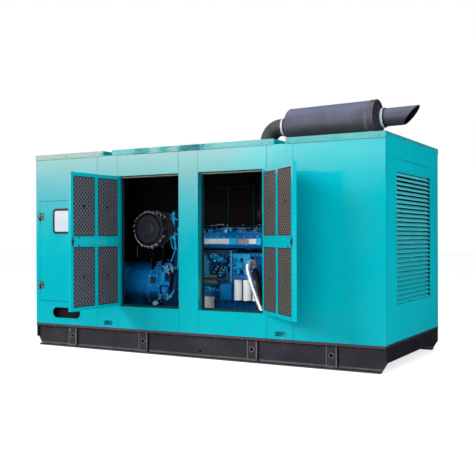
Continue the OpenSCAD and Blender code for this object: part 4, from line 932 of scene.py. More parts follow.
def crankcase(k, steel):
    """Flanges, ribs, plugs and bolts of the crankcase, the cylinder block and the sump."""
    # crankcase: flange, ribs and bolts
    k.box((-610, 800), (CASE - 12, CASE), (868, 900))
    k.box((-610, 800), (CASE - 12, CASE), (622, 650))
    for i in range(13):
        x = -600 + i * 115.8
        k.box(about(x, 8), (CASE - 18, CASE), (650, 868))
        steel.bolt((x + 50, CASE - 12, 884), OUT, 9)
        steel.bolt((x + 50, CASE - 12, 636), OUT, 9)
    # cylinder block: a plug and two ribs for each cylinder
    for i in range(6):
        x = -492.5 + i * 235
        for dx in (-85, 85):
            k.box(about(x + dx, 8), (BLOCK - 12, BLOCK), (905, 1225))
        k.stub((x, BLOCK, 1050), OUT, (40, 7), (33, 9), (30, 4), n=24)
        steel.bolt((x, BLOCK, 1200), OUT, 10)
    # sump: upright ribs and its bolted flange
    for i in range(14):
        x = -470 + i * 86
        k.box(about(x, 12), (SUMP - 18, SUMP), (470, 606))
    k.box((-520, 710), (SUMP - 30, SUMP), (598, 622))


def governor_box(steel):
    """The cut-cornered governor box and its cover screws."""
    teal = Kit("governor_box", "engine_blue", "teal_blue", bevel=3)
    pts = [(-245, 905), (-135, 905), (-98, 962), (-98, 1105), (-150, 1182), (-245, 1182)]
    teal.prism([(x, -372, z) for x, z in pts], (0, 120, 0))
    teal.prism([(x * 0.86 - 24, -380, 1043 + (z - 1043) * 0.82) for x, z in pts], (0, 10, 0))
    for x, z in pts:
        steel.bolt((x * 0.94 - 10, -372, 1043 + (z - 1043) * 0.91), OUT, 6)


def pump_covers(light, mid):
    """Front cover of the pump, thermostat branch, water pipe and the fuel filter's head."""
    mid.stub((-60, -260, 1160), OUT, (52, 30), (38, 40), (18, 44), n=28)
    mid.stub((40, -260, 1128), OUT, (45, 40), (30, 52), (14, 56), n=28)
    for x, z, r in ((-108, 1168, 24), (-40, 1178, 20), (2, 1128, 22), (36, 1104, 18)):
        light.stub((x, -295, z), OUT, (r, 14), (r * 0.6, 26), (r * 0.3, 30), n=16)
    light.tube([(-115, -310, 1186), (-60, -325, 1196), (10, -325, 1170), (48, -310, 1124)], 7.5, 12)
    # fuel filter's head fittings
    for x, z, r in ((-170, 790, 28), (-115, 775, 34), (-60, 752, 26), (-140, 735, 20),
                    (-30, 772, 18), (10, 745, 16)):
        light.stub((x, -305, z), OUT, (r, 50), (r * 0.8, 62), (r * 0.4, 66), n=18)
    light.tube([(-115, -360, 775), (-85, -400, 790), (-40, -430, 770), (-22, -470, 722)], 10)
    light.tube([(-170, -350, 790), (-215, -360, 760), (-225, -350, 690), (-200, -330, 640)], 9)
    # smooth block with rounded corners, below the crankcase flange
    mid.prism([(40, y, z) for y, z in ((-355, 640), (-355, 818), (-340, 835), (-300, 835),
                                       (-300, 622), (-340, 622))], (172, 0, 0))


def starter_motor(grey):
    """The grey-green starter motor, its solenoid and its nose."""
    grey.rod((-205, -352, 845), (16, -352, 845), 50, 24, 8)
    grey.rod((-110, -372, 918), (30, -372, 918), 32, 20, 6)
    grey.rod((12, -352, 845), (34, -352, 845), 40, 24, 4)


def cooler_housing(k, light, mid, dark, steel, glint_blue):
    """Face plate with dark ports, bolts and the light upright pipe."""
    f = -400                                           # the housing's face
    light.box((262, 500), (f - 7, f + 1), (958, 1208))
    k.box((505, 692), (f - 6, f + 1), (958, 1208))
    for x0, x1, z0, z1 in ((262, 330, 1100, 1160), (350, 410, 1095, 1135), (262, 325, 960, 1020),
                           (352, 402, 962, 1008), (430, 470, 1020, 1090)):
        mid.box((x0, x1), (f - 9.5, f - 6), (z0, z1))
    for x, z, r in ((387, 1134, 20), (288, 1071, 16), (386, 990, 22), (302, 998, 13),
                    (539, 1160, 20), (594, 1172, 14), (470, 1060, 16)):
        dark.stub((x, f - 7, z), OUT, (r, 2), (r * 0.8, 2.5), n=20)
        k.ring((x, f - 8, z), OUT, r + 3, 4, 24, 6)
    for i in range(7):
        for z in (968, 1198):
            (steel if i % 2 else light).bolt((272 + i * 67, f - 7, z), OUT, 6)
    k.box((330, 455), (f - 14, f), (1020, 1034))
    k.box((400, 415), (f - 14, f), (1034, 1110))
    glint_blue.tube([(246, -415, 1212), (246, -420, 1160), (245, -420, 1000), (245, -420, 865)], 7)
    light.box((238, 300), (-424, -404), (1070, 1082))
    for z in (1232, 1076, 868):
        light.stub((245, -420, z - 12), UP, (14, 24), n=6)


def block_pipes(k, light, mid, dark, steel, grey):
    """Pipes under the manifold, hoses and looms across the block, lagging and the filters' brackets."""
    grey.tube([(-300, -300, 1236), (-100, -310, 1243), (100, -305, 1238), (275, -310, 1250)], 11)
    mid.tube([(400, -315, 1265), (527, -310, 1275), (680, -300, 1262)], 8)
    # hoses and looms across the block's middle
    grey.tube([(43, -340, 827), (110, -370, 872), (174, -360, 917), (205, -320, 990)], 8)
    mid.tube([(45, -330, 905), (95, -360, 960), (131, -350, 1028), (120, -300, 1090)], 8)
    mid.tube([(130, -330, 880), (150, -350, 950), (142, -340, 1030), (160, -310, 1100)], 7)
    for i in range(7):
        x, z = -40 + 26 * i, 935 + 150 * wobble(i, 2)
        dark.tube([(x, -300, z - 50), (x + 15, -345, z), (x + 35, -335, z + 40),
                   (x + 60 * wobble(i), -290, z + 85)], 7.5 + 4 * wobble(i, 3))
        (steel if i % 2 else light).stub((x + 8, -352, z - 15), OUT, (13, 10), (7, 13), n=6)
    k.box((-90, 235), (-270, -250), (905, 925))
    k.prism([(60, -290, 930), (150, -290, 1100), (175, -290, 1100), (88, -290, 930)], (0, 40, 0))
    # grey lagging above, and a nut and a bracket at each filter's head
    grey.box((-205, 88), (-275, -250), (1205, 1228))
    for x in FILTER_X:
        k.stub((x, -440, 957), UP, (30, 10), (20, 18), n=6)
        k.box(about(x, 45), (-556, -546), (915, 950))


def block_unions(kits):
    """Small unions, clips and nipples over the block's middle and beside the cooler, and the cable boot."""
    glint_blue, light = kits[:2]
    for i in range(34):
        u, v = wobble(i), wobble(i, 3.7)
        x, z = -70 + 235 * u, 850 + 320 * v
        if i > 22:
            x, z = 515 + 160 * u, 930 + 270 * v
        y = (-300 if i <= 22 else -407) - 30 * wobble(i, 5.3)
        r = 6 + 8 * wobble(i, 7.1)
        kit = kits[(i * 5) % 6]
        if i % 3 == 0:
            kit.rod((x - 2 * r, y, z - r), (x + 2 * r, y - 10, z + 1.5 * r), r * 0.6, 8, 1)
        elif i % 3 == 1:
            kit.stub((x, y, z), (0.3 * u, -1, 0.4 * v), (r, r), (r * 0.6, 1.4 * r), n=6)
        else:
            kit.tube([(x, y + 20, z - 2 * r), (x + r, y - 10, z - r), (x + 1.5 * r, y - 10, z + r),
                      (x + r, y + 20, z + 3 * r)], r * 0.45, 8)
    for i in range(9):
        x, z = -225 + 19 * i, 735 + 65 * wobble(i, 2.3)
        (glint_blue if i % 3 == 1 else light).stub((x, -368, z), OUT, (9, 10), (5, 14), n=8)
    # bright clamp strips under the cooler
    for x in (285, 345, 432):
        glint_blue.box((x, x + 30), (-412, -405), (922, 940))
    red = Kit("cable_boot", "rubber", "red")
    red.rod((46, -372, 880), (56, -380, 896), 9, 12, 2)


def block_side():
    """All that is fixed to the engine's front side."""
    k = Kit("block_ribs", "engine_blue", bevel=3)
    light = Kit("block_light_fittings", "engine_blue", "highlight_blue", bevel=2)
    mid = Kit("block_covers", "engine_blue", "mid_blue", bevel=4)
    glint_blue = Kit("block_glint_fittings", "engine_blue", "glint_blue", bevel=1)
    dark = Kit("block_hoses", "rubber", "soft")
    steel = Kit("block_bolts", "bright_steel", "bare")
    grey = Kit("starter_motor", "black_metal", "grey_green")
    crankcase(k, steel)
    governor_box(steel)
    pump_covers(light, mid)
    starter_motor(grey)
    cooler_housing(k, light, mid, dark, steel, glint_blue)
    block_pipes(k, light, mid, dark, steel, grey)
    block_unions((glint_blue, light, mid, dark, grey, steel))


def filter_cans():
    """Rims, seams and drain cocks of the four spin-on filters, and the dark hose that passes the end one."""
    hose = Kit("drain_hose", "rubber", "soft")
    hose.tube([(628, -520, 1030), (672, -560, 960), (722, -600, 850), (775, -640, 720),
               (806, -655, 630)], 27, 18)
    for i in range(17):
        t = i / 16
        p = Vector((640 + 158 * t, -530 - 122 * t, 1010 - 360 * t))
        hose.ring(p, (0.158, -0.122, -0.360), 27, 3.5, 24, 6)
    k = Kit("filter_rims", "filter_white")
    b = Kit("filter_seals", "rubber")
    y = -500
    for x, r, z0, z1 in (*((x, 50, 652.5, 902.5) for x in FILTER_X), (-17, 60, 500, 690)):
        k.lathe((x, y, z0), UP, [(r - 6, 0), (r + 1.2, 6), (r + 1.2, 14), (r - 1, 18)], 40)
        k.lathe((x, y, z1 - 16), UP, [(r - 1, 0), (r + 1.4, 4), (r + 1.4, 13), (r - 1, 16)], 40)
        b.stub((x, y, z0), DOWN, (14, 10), (10, 16), n=6)
        b.stub((x, y, z1 - 4), UP, (r + 1, 6), n=40)


SHAFT_Z = 745                                          # height of the alternator's shaft


def round_shaft(x, r, deg):
    """A point at radius r round the shaft: 0 degrees faces the front, 90 is up."""
    return (x, -r * math.cos(rad(deg)), SHAFT_Z + r * math.sin(rad(deg)))


def alternator_body(k, steel):
    """Rings of the round body and the slatted guard round the drive end."""
    # frame rings and joints of the round body
    for x, r, w in ((-1080, 333, 26), (-1395, 331.5, 8), (-1690, 333, 26)):
        k.lathe((x - w / 2, 0, SHAFT_Z), ALONG, [(r - 10, 0), (r + 3, 2), (r + 3, w - 2), (r - 10, w)], 64)
    # slatted guard round the drive end: bars between its two flanges
    for i in range(30):
        deg = -75 + i * 11
        if -24 < deg < 24:
            continue
        p, q = round_shaft(-1040, 361, deg), round_shaft(-870, 361, deg)
        k.rod(p, q, 5, 6)
    for deg in (-30, 30, 60, 90, 120, 150):
        steel.bolt(round_shaft(-857, 350, deg), ALONG, 9)


def inspection_plate(k, dark, steel):
    """The plate on the drive end, with a darker panel, and the ribs above and below it."""
    k.box((-1030, -885), (-366.5, -345), (770, 925))
    dark.box((-1004, -918), (-368.5, -362), (812, 900))
    for x in (-1020, -895):
        for z in (782, 913):
            steel.bolt((x, -366.5, z), OUT, 6)
    for z in (600, 640, 680, 720, 985, 1010):
        y = -math.sqrt(max(0, 361 ** 2 - (z - SHAFT_Z) ** 2))
        k.box((-1045, -868), (y - 6, y + 12), about(z, 7))


def alternator_fittings(k, dark, steel):
    """Terminal leads, lifting eye, grease point, and the rear cover's bolts and slots."""
    # terminal leads at the body's control end
    lead = Kit("terminal_leads", "engine_blue", "highlight_blue")
    for route, r in ((((-1490, 340, 46), (-1487, 346, 40), (-1470, 346, 33), (-1463, 344, 25),
                       (-1470, 338, 17)), 11),
                     (((-1455, 338, 50), (-1447, 346, 42), (-1455, 345, 35)), 9)):
        lead.tube([round_shaft(*p) for p in route], r)
    # lifting eye and grease point
    k.ring((-1235, 0, SHAFT_Z + 352), ALONG, 26, 9, 28, 10)
    k.stub((-1235, 0, SHAFT_Z + 322), UP, (24, 10), (14, 14), n=20)
    dark.stub(round_shaft(-1246, 329, 49), (0, -math.cos(rad(49)), math.sin(rad(49))), (16, 3), (13, 4), n=18)
    # rear cover's bolts and its cowl slots
    for i in range(8):
        t = 360 * i / 8 + 12
        steel.bolt(round_shaft(-1715.5, 300, t), LEFTWARD, 9)
    for i in range(7):
        z = SHAFT_Z - 120 + i * 40
        dark.box((-1787.5, -1784), (-120, 120), about(z, 8))


def flywheel_housing_dress(k, light, steel):
    """Bolt circles, barring port and speed sensor of the flywheel housing."""
    for deg in (-20, 0, 20, 40, 60, 80, 100):
        steel.bolt(round_shaft(-832.5, 356.5, deg), ALONG, 8, False)
        steel.bolt(round_shaft(-612, 330, deg), ALONG, 8, False)
    k.rod((-862, -345, 808), (-700, -345, 806), 46, 24, 6)
    k.rod((-780, -360, 610), (-780, -360, 775), 48, 26, 6)
    k.box((-836, -724), (-372, -330), (782, 800))
    cover = Kit("housing_cover", "engine_blue", "highlight_blue", bevel=3)
    cover.prism([(x, 0, z) for x, z in ((-836, 836), (-786, 836), (-778, 890), (-786, 948),
                                        (-812, 962), (-830, 900))], (0, -345, 0), (0, -378, 0))
    light.box((-830, -730), (-386, -350), (794, 803))


def alternator_edges():
    """Pale lines of painted highlight on the edges of the drive end, and dark rings and strips of painted
    shade in the gaps beside and between its ribs.
    """
    edge = Kit("alternator_edge_highlights", "engine_blue", "edge_highlight_blue")
    # painted highlights: pale lines along the edges
    for deg in (40, 48, 56, 64):
        edge.rod(round_shaft(-1035, 366.5, deg), round_shaft(-880, 366.5, deg), 5, 8)
    for deg in range(-30, 76, 8):
        p, q = round_shaft(-1052, 362, deg), round_shaft(-1052, 362, deg + 8)
        edge.rod(p, q, 5.8, 8)
        p, q = round_shaft(-868, 366, deg), round_shaft(-868, 366, deg + 8)
        edge.rod(p, q, 5.8, 8)
    for x in (-1028, -888):
        edge.rod((x, -368, 775), (x, -368, 920), 2.5, 6)
    gap = Kit("alternator_gap_shade", "rubber", "gap_shade_navy")
    # painted shade: navy rings and strips fill the gaps
    gap.lathe((-1060, 0, SHAFT_Z), ALONG, [(345, 0), (358.5, 1), (358.5, 4), (345, 5)], 72)
    gap.lathe((-863, 0, SHAFT_Z), ALONG, [(350, 0), (367.5, 1), (367.5, 22), (350, 23)], 72)
    for z in (560, 585, 611, 636, 662, 688):
        y = -math.sqrt(362.5 ** 2 - (z - SHAFT_Z) ** 2)
        gap.box((-1030, -885), (y - 4, y + 6), about(z, 4.5))


def alternator_dress():
    """All that is fixed to the alternator and the flywheel housing."""
    k = Kit("alternator_dress", "engine_blue", "alt_blue", bevel=1.5)
    steel = Kit("alternator_bolts", "bright_steel", "glint_blue")
    light = Kit("alternator_leads", "engine_blue", "highlight_blue")
    dark = Kit("alternator_panels", "rubber", "deep_teal")
    alternator_body(k, steel)
    inspection_plate(k, dark, steel)
    alternator_fittings(k, dark, steel)
    flywheel_housing_dress(k, light, steel)
    alternator_edges()


def riser_side_pipes(light):
    """Upright pipes beside the riser, in sections with collars."""
    light.tube([(-703, -262, 1742), (-700, -270, 1620), (-694, -270, 1460), (-682, -270, 1340),
                (-673, -270, 1247)], 17, 14)
    light.tube([(-743, -262, 1660), (-740, -270, 1580), (-752, -272, 1430), (-728, -270, 1300),
                (-712, -268, 1262)], 7.5)
    for x, z, r in ((-703, 1716, 24), (-702, 1660, 27), (-697, 1470, 26), (-690, 1405, 28), (-676, 1262, 25)):
        light.stub((x, -270, z - 14), UP, (r, 28), n=6)
    light.tube([(-745, -270, 1706), (-720, -285, 1690), (-690, -280, 1654), (-640, -270, 1640)], 12)
    light.tube([(-760, -270, 1392), (-725, -285, 1412), (-690, -285, 1440), (-640, -270, 1452)], 11)
    light.tube([(-676, -270, 1250), (-700, -275, 1190), (-729, -270, 1129), (-745, -270, 1090)], 8)
    light.tube([(-640, -260, 1540), (-628, -265, 1350), (-640, -260, 1120), (-655, -260, 990)], 10)


def housing_unions(glint_blue, light, steel, dark):
    """Elbows, unions and nipples over the flywheel housing."""
    mid = Kit("flywheel_elbows", "engine_blue", "mid_blue")
    mid.tube([(-830, -290, 990), (-815, -310, 1040), (-775, -310, 1062), (-716, -300, 1046),
              (-690, -290, 985)], 19, 16)
    light.tube([(-812, -340, 850), (-806, -356, 900), (-792, -356, 950), (-770, -340, 990)], 12, 14)
    mid.stub((-770, -335, 1012), OUT, (40, 16), (30, 26), (12, 30), n=24)
    light.stub((-770, -352, 1012), OUT, (26, 12), (16, 18), n=20)
    light.stub((-706, -305, 1012), OUT, (28, 16), (18, 26), n=20)
    for x, z, w, h in ((-742, 1030, 10, 50), (-728, 985, 16, 30), (-800, 1034, 26, 12),
                       (-690, 1050, 20, 14), (-812, 880, 14, 70), (-668, 1000, 12, 60)):
        glint_blue.box(about(x, w / 2), (-372, -352), about(z, h / 2))
    for i in range(16):
        x, z = -800 + 150 * wobble(i), 965 + 105 * wobble(i, 2.9)
        r = 6 + 7 * wobble(i, 5.1)
        (glint_blue, light, steel, dark)[i % 4].stub((x, -345, z), (0.2, -1, 0.3),
                                              (r, 1.2 * r), (r * 0.5, 1.8 * r), n=6 if i % 2 else 12)
    for i in range(6):
        x, z = -795 + 26 * i, 940 + 110 * wobble(i, 3)
        steel.bolt((x, -345 + 10 * i, z), OUT, 8)


def low_unions(glint_blue, light):
    """Low fittings and pipes beside the housing, and the earth lug."""
    for i in range(14):
        x, z = -880 + 190 * wobble(i, 1.3), 575 + 110 * wobble(i, 3.3)
        (glint_blue if i % 2 else light).stub((x, -378, z), (0.1, -1, 0.3), (11, 10), (6, 15), n=6 if i % 3 else 12)
    for i in range(6):
        x, z = -850 + 34 * i, 600 + 75 * wobble(i, 2)
        light.stub((x, -350, z), OUT, (17, 24), (10, 30), n=6 if i % 2 else 16)
    light.tube([(-880, -370, 600), (-845, -385, 640), (-800, -385, 646), (-760, -375, 600)], 12)
    light.tube([(-760, -360, 640), (-700, -350, 660), (-650, -340, 720), (-640, -310, 800)], 15)
    white = Kit("earth_lug", "bright_steel", "glint_blue")
    white.stub((-905, -400, 556), (0.2, -1, 0.9), (36, 10), (24, 16), n=20)
    white.rod((-940, -395, 552), (-855, -395, 562), 10, 12, 3)


def column_gap(dark, steel):
    """A black box of painted shade in the gap at the column, a black tube, a threaded rod, and the brown hose
    from the air cleaner.
    """
    brown = Kit("intake_hose", "rubber", "hose")
    # painted shade: a black box fills the gap
    dark.box((-735, -655), (-262, -235), (620, 985))
    dark.tube([(-690, -330, 945), (-684, -347, 860), (-692, -347, 760), (-704, -345, 670)], 18)
    steel.tube([(-716, -275, 975), (-709, -278, 900), (-714, -275, 800)], 6, 8)
    brown.tube([(-775, -300, 1600), (-745, -300, 1610), (-715, -300, 1575), (-700, -300, 1500),
                (-712, -300, 1440)], 26, 16)
    brown.tube([(-780, -200, 1735), (-710, -220, 1762), (-630, -220, 1760), (-560, -200, 1745)], 12)


def flywheel_plumbing():
    """The bright tangle between the flywheel housing and the column."""
    light = Kit("flywheel_pipes", "engine_blue", "highlight_blue")
    steel = Kit("flywheel_fittings", "bright_steel", "pale_wire")
    dark = Kit("flywheel_dark_fittings_and_gap_shade", "rubber", "soft")
    glint_blue = Kit("flywheel_glint_fittings", "engine_blue", "glint_blue", bevel=0.8)
    riser_side_pipes(light)
    housing_unions(glint_blue, light, steel, dark)
    low_unions(glint_blue, light)
    column_gap(dark, steel)


def drum_dress():
    """The air cleaner's clips, rims and end cover, with painted glints on its rim and a black ring of painted
    shade inside the rim.
    """
    k = Kit("drum_cover", "drum")
    clip = Kit("drum_clips", "bright_steel", "clip")
    dark = Kit("drum_wire", "rubber", "mesh")
    x0, z0 = -953, 1517                                # the drum's axis
    f = -500                                           # its end face

    def at(r, deg, y):
        return (x0 + r * math.cos(rad(deg)), y, z0 + r * math.sin(rad(deg)))

    # end cover: rolled rim, dished ring, domed middle with three ribs
    k.ring((x0, -470, z0), OUT, 219, 6.5, 72, 8)
    k.ring((x0, f + 6, z0), OUT, 172, 4, 64, 6)
    k.ring((x0, f - 1, z0), OUT, 104, 4, 48, 6)
    k.lathe((x0, f + 1, z0), OUT, [(95, 0), (88, 8), (60, 16), (20, 19)], 40)
    for dx in (-34, 0, 34):
        h = 85 - abs(dx) * 0.4
        k.box(about(x0 + dx, 6), (f - 22, f - 4), about(z0, h))
    # ribs round the body
    for i in range(9):
        y = -435 + i * 36
        k.lathe((x0, y, z0), (0, 1, 0), [(199, 0), (204.5, 4), (204.5, 12), (199, 16)], 64)
    for y in range(-200, -100, 20):
        k.box(about(x0, 50), (y, y + 8), (z0 + 195, z0 + 204))
    # over-centre clips: a hook on the rim, a bent wire loop and a lever
    for i in range(11):
        deg = 98 + i * 360 / 11
        b, c = at(243, deg, -468), at(246, deg, -430)
        clip.tube([at(220, deg - 2, -486), b, c, at(212, deg, -395)], 4.8, 8, 3)
        clip.tube([at(220, deg + 2.6, -486), at(243, deg + 2.6, -468), at(246, deg + 2.6, -430),
                   at(212, deg + 2.6, -395)], 4.8, 8, 3)
        clip.tube([at(240, deg - 1.2, -440), at(250, deg + 1.3, -440), at(240, deg + 3.8, -440)], 5.5, 8, 2)
    clip.ring((x0, -491.5, z0), OUT, 208.5, 3.8, 80, 6)
    clip.ring((x0, -300, z0), OUT, 226.5, 4, 80, 6)
    clip.tube([at(228, 70, -270), at(236, 52, -265), at(236, 34, -262), at(228, 16, -260)], 4.5)
    # thin wire hanging at the left, small plugs at the right
    dark.tube([(-1161, -440, 1300), (-1163, -440, 1220), (-1160, -440, 1156)], 3.5, 6)
    clip.stub((-760, -440, 1400), OUT, (14, 14), (8, 18), n=8)
    clip.stub((-747, -440, 1288), OUT, (12, 14), (8, 18), n=8)
    clip.tube([(-700, -330, 1392), (-675, -340, 1372), (-640, -330, 1366)], 5, 8)
    spark = Kit("drum_rim_glints", "bright_steel", "screw_white")
    black = Kit("drum_shadow_ring", "drum", "soft")
    black.ring((x0, -482, z0), OUT, 197, 14.5, 72, 10)
    # painted glints: white dots scattered over the rim and clips, and white arcs along the rim
    for i in range(56):
        deg = 40 + 120 * wobble(i, 1.7) if i % 2 else 150 + 190 * wobble(i, 1.7)
        deep = 160 if i % 2 else 50
        spark.dome(at(226.5 + 20 * wobble(i, 3.1), deg, -492 + deep * wobble(i, 2.3)), (0.2, -1, 0.3),
                   5.8 + 5.8 * wobble(i, 5), 0.8, 8)
    spark.tube([at(224, d, -489) for d in range(196, 300, 8)], 4.2, 8)
    spark.tube([at(223.5, d, -489) for d in range(62, 132, 10)], 3, 8)


def cooling():
    """Fan, belts, hoses and the radiator's core and tanks."""
    k = Kit("fan", "black_metal")
    steel = Kit("pulleys", "bright_steel", "bare")
    dark = Kit("radiator_hoses", "rubber")
    fins = Kit("radiator_fins", "radiator")
    zc = 1290                                          # height of the fan's axis
    k.rod((862, 0, zc), (1020, 0, zc), 45, 24, 4)
    k.lathe((985, 0, zc), ALONG, [(110, 0), (120, 10), (120, 50), (90, 60)], 32)
    for i in range(8):
        t = 2 * math.pi * i / 8
        d, e = Vector((0, math.cos(t), math.sin(t))), Vector((0, -math.sin(t), math.cos(t)))
        o = Vector((1012, 0, zc))
        a, b = 100, 375
        n1, n2 = Vector((30, 0, 0)) + e * 45, Vector((22, 0, 0)) + e * 85
        q = [o + d * a - n1, o + d * b - n2, o + d * b + n2, o + d * a + n1]
        k.prism(q, (2, 0, 0), (-2, 0, 0))
    for r, z in ((100, zc), (130, 800)):
        steel.stub((862, 0, z), ALONG, (r, 10), (r - 12, 18), (r, 26), (r, 36), n=36)
    for s in (-1, 1):
        dark.tube([(886, s * 105, zc), (886, s * 122, 1050), (886, s * 134, 800)], 9, 8, 3)
    # top and bottom hoses with their clips
    dark.tube([(800, 120, 1440), (860, 120, 1500), (900, 100, 1750), (930, 100, 2080), (1000, 100, 2160),
               (1090, 100, 2170)], 36, 18)
    dark.tube([(800, -160, 620), (900, -200, 560), (960, -340, 480), (1090, -400, 450)], 38, 18)
    steel.ring((1060, 100, 2170), ALONG, 37.5, 4.5, 28, 6)
    steel.ring((885, 110, 1600), (0.2, 0, 1), 37.5, 4.5, 28, 6)
    # fins and tubes on the radiator's outer face, tanks' seams and filler cap
    for i in range(62):
        y = -800 + i * 26.2
        fins.box((1289.5, 1292.5), about(y, 3), (420, 2100))
    for i in range(34):
        z = 440 + i * 50
        fins.box((1289, 1291.5), (-800, 800), about(z, 1.5))
    for z in (410, 2120):
        fins.box((1288, 1296), (-860, 860), about(z, 12))
    steel.stub((1190, 350, 2288), UP, (45, 22), (36, 30), n=28)


# ---------------------------------------------------------------- canopy trim and the control bay

def seam_lines():
    """Thin dark joints between the wall panels, under the roof's flange and across the end walls."""
    k = Kit("panel_seams", "canopy_paint", "seam")
    w, out = 1.9, 0.6
    lo_, hi_ = span("control_door")
    k.box((lo_.x - 4.5, lo_.x - 1), (-SIDE - out, -SIDE), (lo_.z - 4, hi_.z + 4))
    for z in (lo_.z - 4.5, hi_.z + 1):
        k.box((lo_.x - 4.5, hi_.x + 3), (-SIDE - out, -SIDE), (z, z + 3.5))
    for s in (-1, 1):
        y = (s * SIDE, s * (SIDE + out))
        for x in (P1, P6):
            k.box(about(x, w), y, (DECK + 4, WALL_TOP))
        for x in (P2, P3, P4, P5):
            k.box(about(x, w), y, (DECK + 4, BAY_Z[0]))
            k.box(about(x, w), y, (BAY_Z[1], WALL_TOP))
        f = (s * (SIDE + 0.4), s * (SIDE + 5.2))
        for a, b in ROOF_CAPS:
            k.box((a, b), f, (WALL_TOP, WALL_TOP + 2.8))
        x = (s * END, s * (END + out))
        k.box(x, (-710, 660), (2241.5, 2247))
        k.box(x, (-939, 939), (DECK + 2, DECK + 7))
    # dark joint on the end walls, beside each corner post
    e = Kit("corner_joints", "canopy_paint", "seam")
    for sx in (-1, 1):
        for sy in (-1, 1):
            x = (sx * (END - 3), sx * (END + 0.3))
            e.box(x, (sy * 938.5, sy * 942.5), (DECK + 10, WALL_TOP - 10))


def roof_trim():
    """Joints and screws on the roof's top, the exhaust's collar, and the bolted feet of the saddles."""
    k = Kit("roof_collar", "canopy_paint", "exhaust", bevel=1)
    screw = Kit("roof_screws", "canopy_paint", "pale_bolt")
    seam = Kit("roof_seams", "canopy_paint", "seam")
    z = ROOF
    for a, b in ROOF_CAPS:
        n = max(2, round((b - a) / 400))
        for i in range(n):
            x = a + (b - a) * (i + 0.5) / n
            for s in (-1, 1):
                screw.dome((x, s * 972, z), UP, 8, 0.5, 10)
        for y in (-930, 930):
            seam.box((a + 10, b - 10), about(y, 1.5), (z, z + 0.6))
    for x in (-1850, -380, 100, 1850):
        seam.box(about(x, 1.5), (-930, 930), (z, z + 0.6))
    # collar where the exhaust comes through
    c = (553, 0)
    k.stub((c[0], c[1], z), UP, (215, 4), (160, 6), (130, 34), (112, 36), n=48)
    for i in range(8):
        t = 2 * math.pi * i / 8 + 0.3
        screw.bolt((c[0] + 192 * math.cos(t), c[1] + 192 * math.sin(t), z + 4), UP, 9)
    # the saddles' feet are bolted down
    for x in (912, 1937):
        for y in (-170, 170):
            k.box(about(x, 26), about(y, 34), (z, z + 6))
            screw.bolt((x, y + (18 if y > 0 else -18), z + 6), UP, 10)


def control_hinges():
    """Broad black hinge leaves at the control door, with bright screws."""
    pin, face = CONTROL_PIN, -SIDE - 4.6
    wall = Kit("control_hinge_wall", "black_metal", bevel=1)
    leaf = Kit("control_hinge_leaf", "black_metal", on=CONTROL, bevel=1)
    a = Kit("control_hinge_wall_screws", "bright_steel", "screw_white")
    b = Kit("control_hinge_leaf_screws", "bright_steel", "screw_white", CONTROL)
    for z in CONTROL_HINGE_Z:
        wall.box((pin - 46, pin - 10.5), (face, -SIDE - 0.2), about(z, 47))
        wall.lathe((pin, FRONT - 16, z - 54), UP, [(6, 0), (9.5, 2), (9.5, 4)], 16)
        leaf.box((10.5, 60), (5.6, 9.8), about(z, 47))
        leaf.stub((0, 0, z + 50), UP, (9.5, 2), (6, 4), n=16)
        for dz in (-30, 30):
            a.dome((pin - 32, face, z + dz), OUT, 5, 0.4, 12)
            for x in (26, 46):
                b.dome((x, 5.6, z + dz * (0.6 if x < 30 else 1.0)), OUT, 4.6, 0.4, 12)


def control_door_trim():
    """Lock, stiffeners and seal of the control door, and the frame behind its window."""
    k = Kit("control_door_frame", "canopy_paint", on=CONTROL, bevel=1)
    lock = Kit("control_door_handle", "black_metal", on=CONTROL, bevel=1)
    seal = Kit("control_door_seal", "rubber", on=CONTROL)
    screw = Kit("control_door_screws", "bright_steel", "bare", CONTROL)
    lo_, hi_ = span("control_door")
    w, z0, z1 = hi_.x - CONTROL_PIN, lo_.z, hi_.z
    back, e = 35, 40                                   # the leaf's thickness, width of its folded edge
    # folded edge and cross stiffener on the inner face
    for x in ((16, 16 + e), (w - 6 - e, w - 6)):
        k.box(x, (back - 0.5, back + 10), (z0 + 6, z1 - 6))
    for z in ((z0 + 6, z0 + 6 + e), (z1 - 6 - e, z1 - 6), (1360, 1400)):
        k.box((16 + e, w - 6 - e), (back - 0.5, back + 10), z)
    for x in ((30, 40), (w - 30, w - 20)):
        seal.box(x, (back + 10, back + 16), (z0 + 20, z1 - 20))
    for z in ((z0 + 20, z0 + 30), (z1 - 30, z1 - 20)):
        seal.box((40, w - 30), (back + 10, back + 16), z)
    # handle: recessed pan, lever and key barrel
    l0, l1 = span("control_door_lock")
    x0, x1 = l0.x - CONTROL_PIN, l1.x - CONTROL_PIN
    y = l0.y - (FRONT - 16)
    lock.box((x0 + 14, x1 - 14), (y - 4, y + 1), (l0.z + 16, l1.z - 50))
    lock.prism([(x0 + 20, y - 4, l0.z + 20), (x0 + 20, y - 12, l0.z + 26),
                (x0 + 20, y - 13, l1.z - 75), (x0 + 20, y - 4, l1.z - 60)],
               (x1 - x0 - 40, 0, 0))
    lock.stub(((x0 + x1) / 2, y + 1, l1.z - 26), OUT, (14, 5), (11, 8), n=20)
    for x in (x0 + 7, x1 - 7):
        for z in (l0.z + 8, l1.z - 8):
            screw.dome((x, y, z), OUT, 4, 0.5, 10)


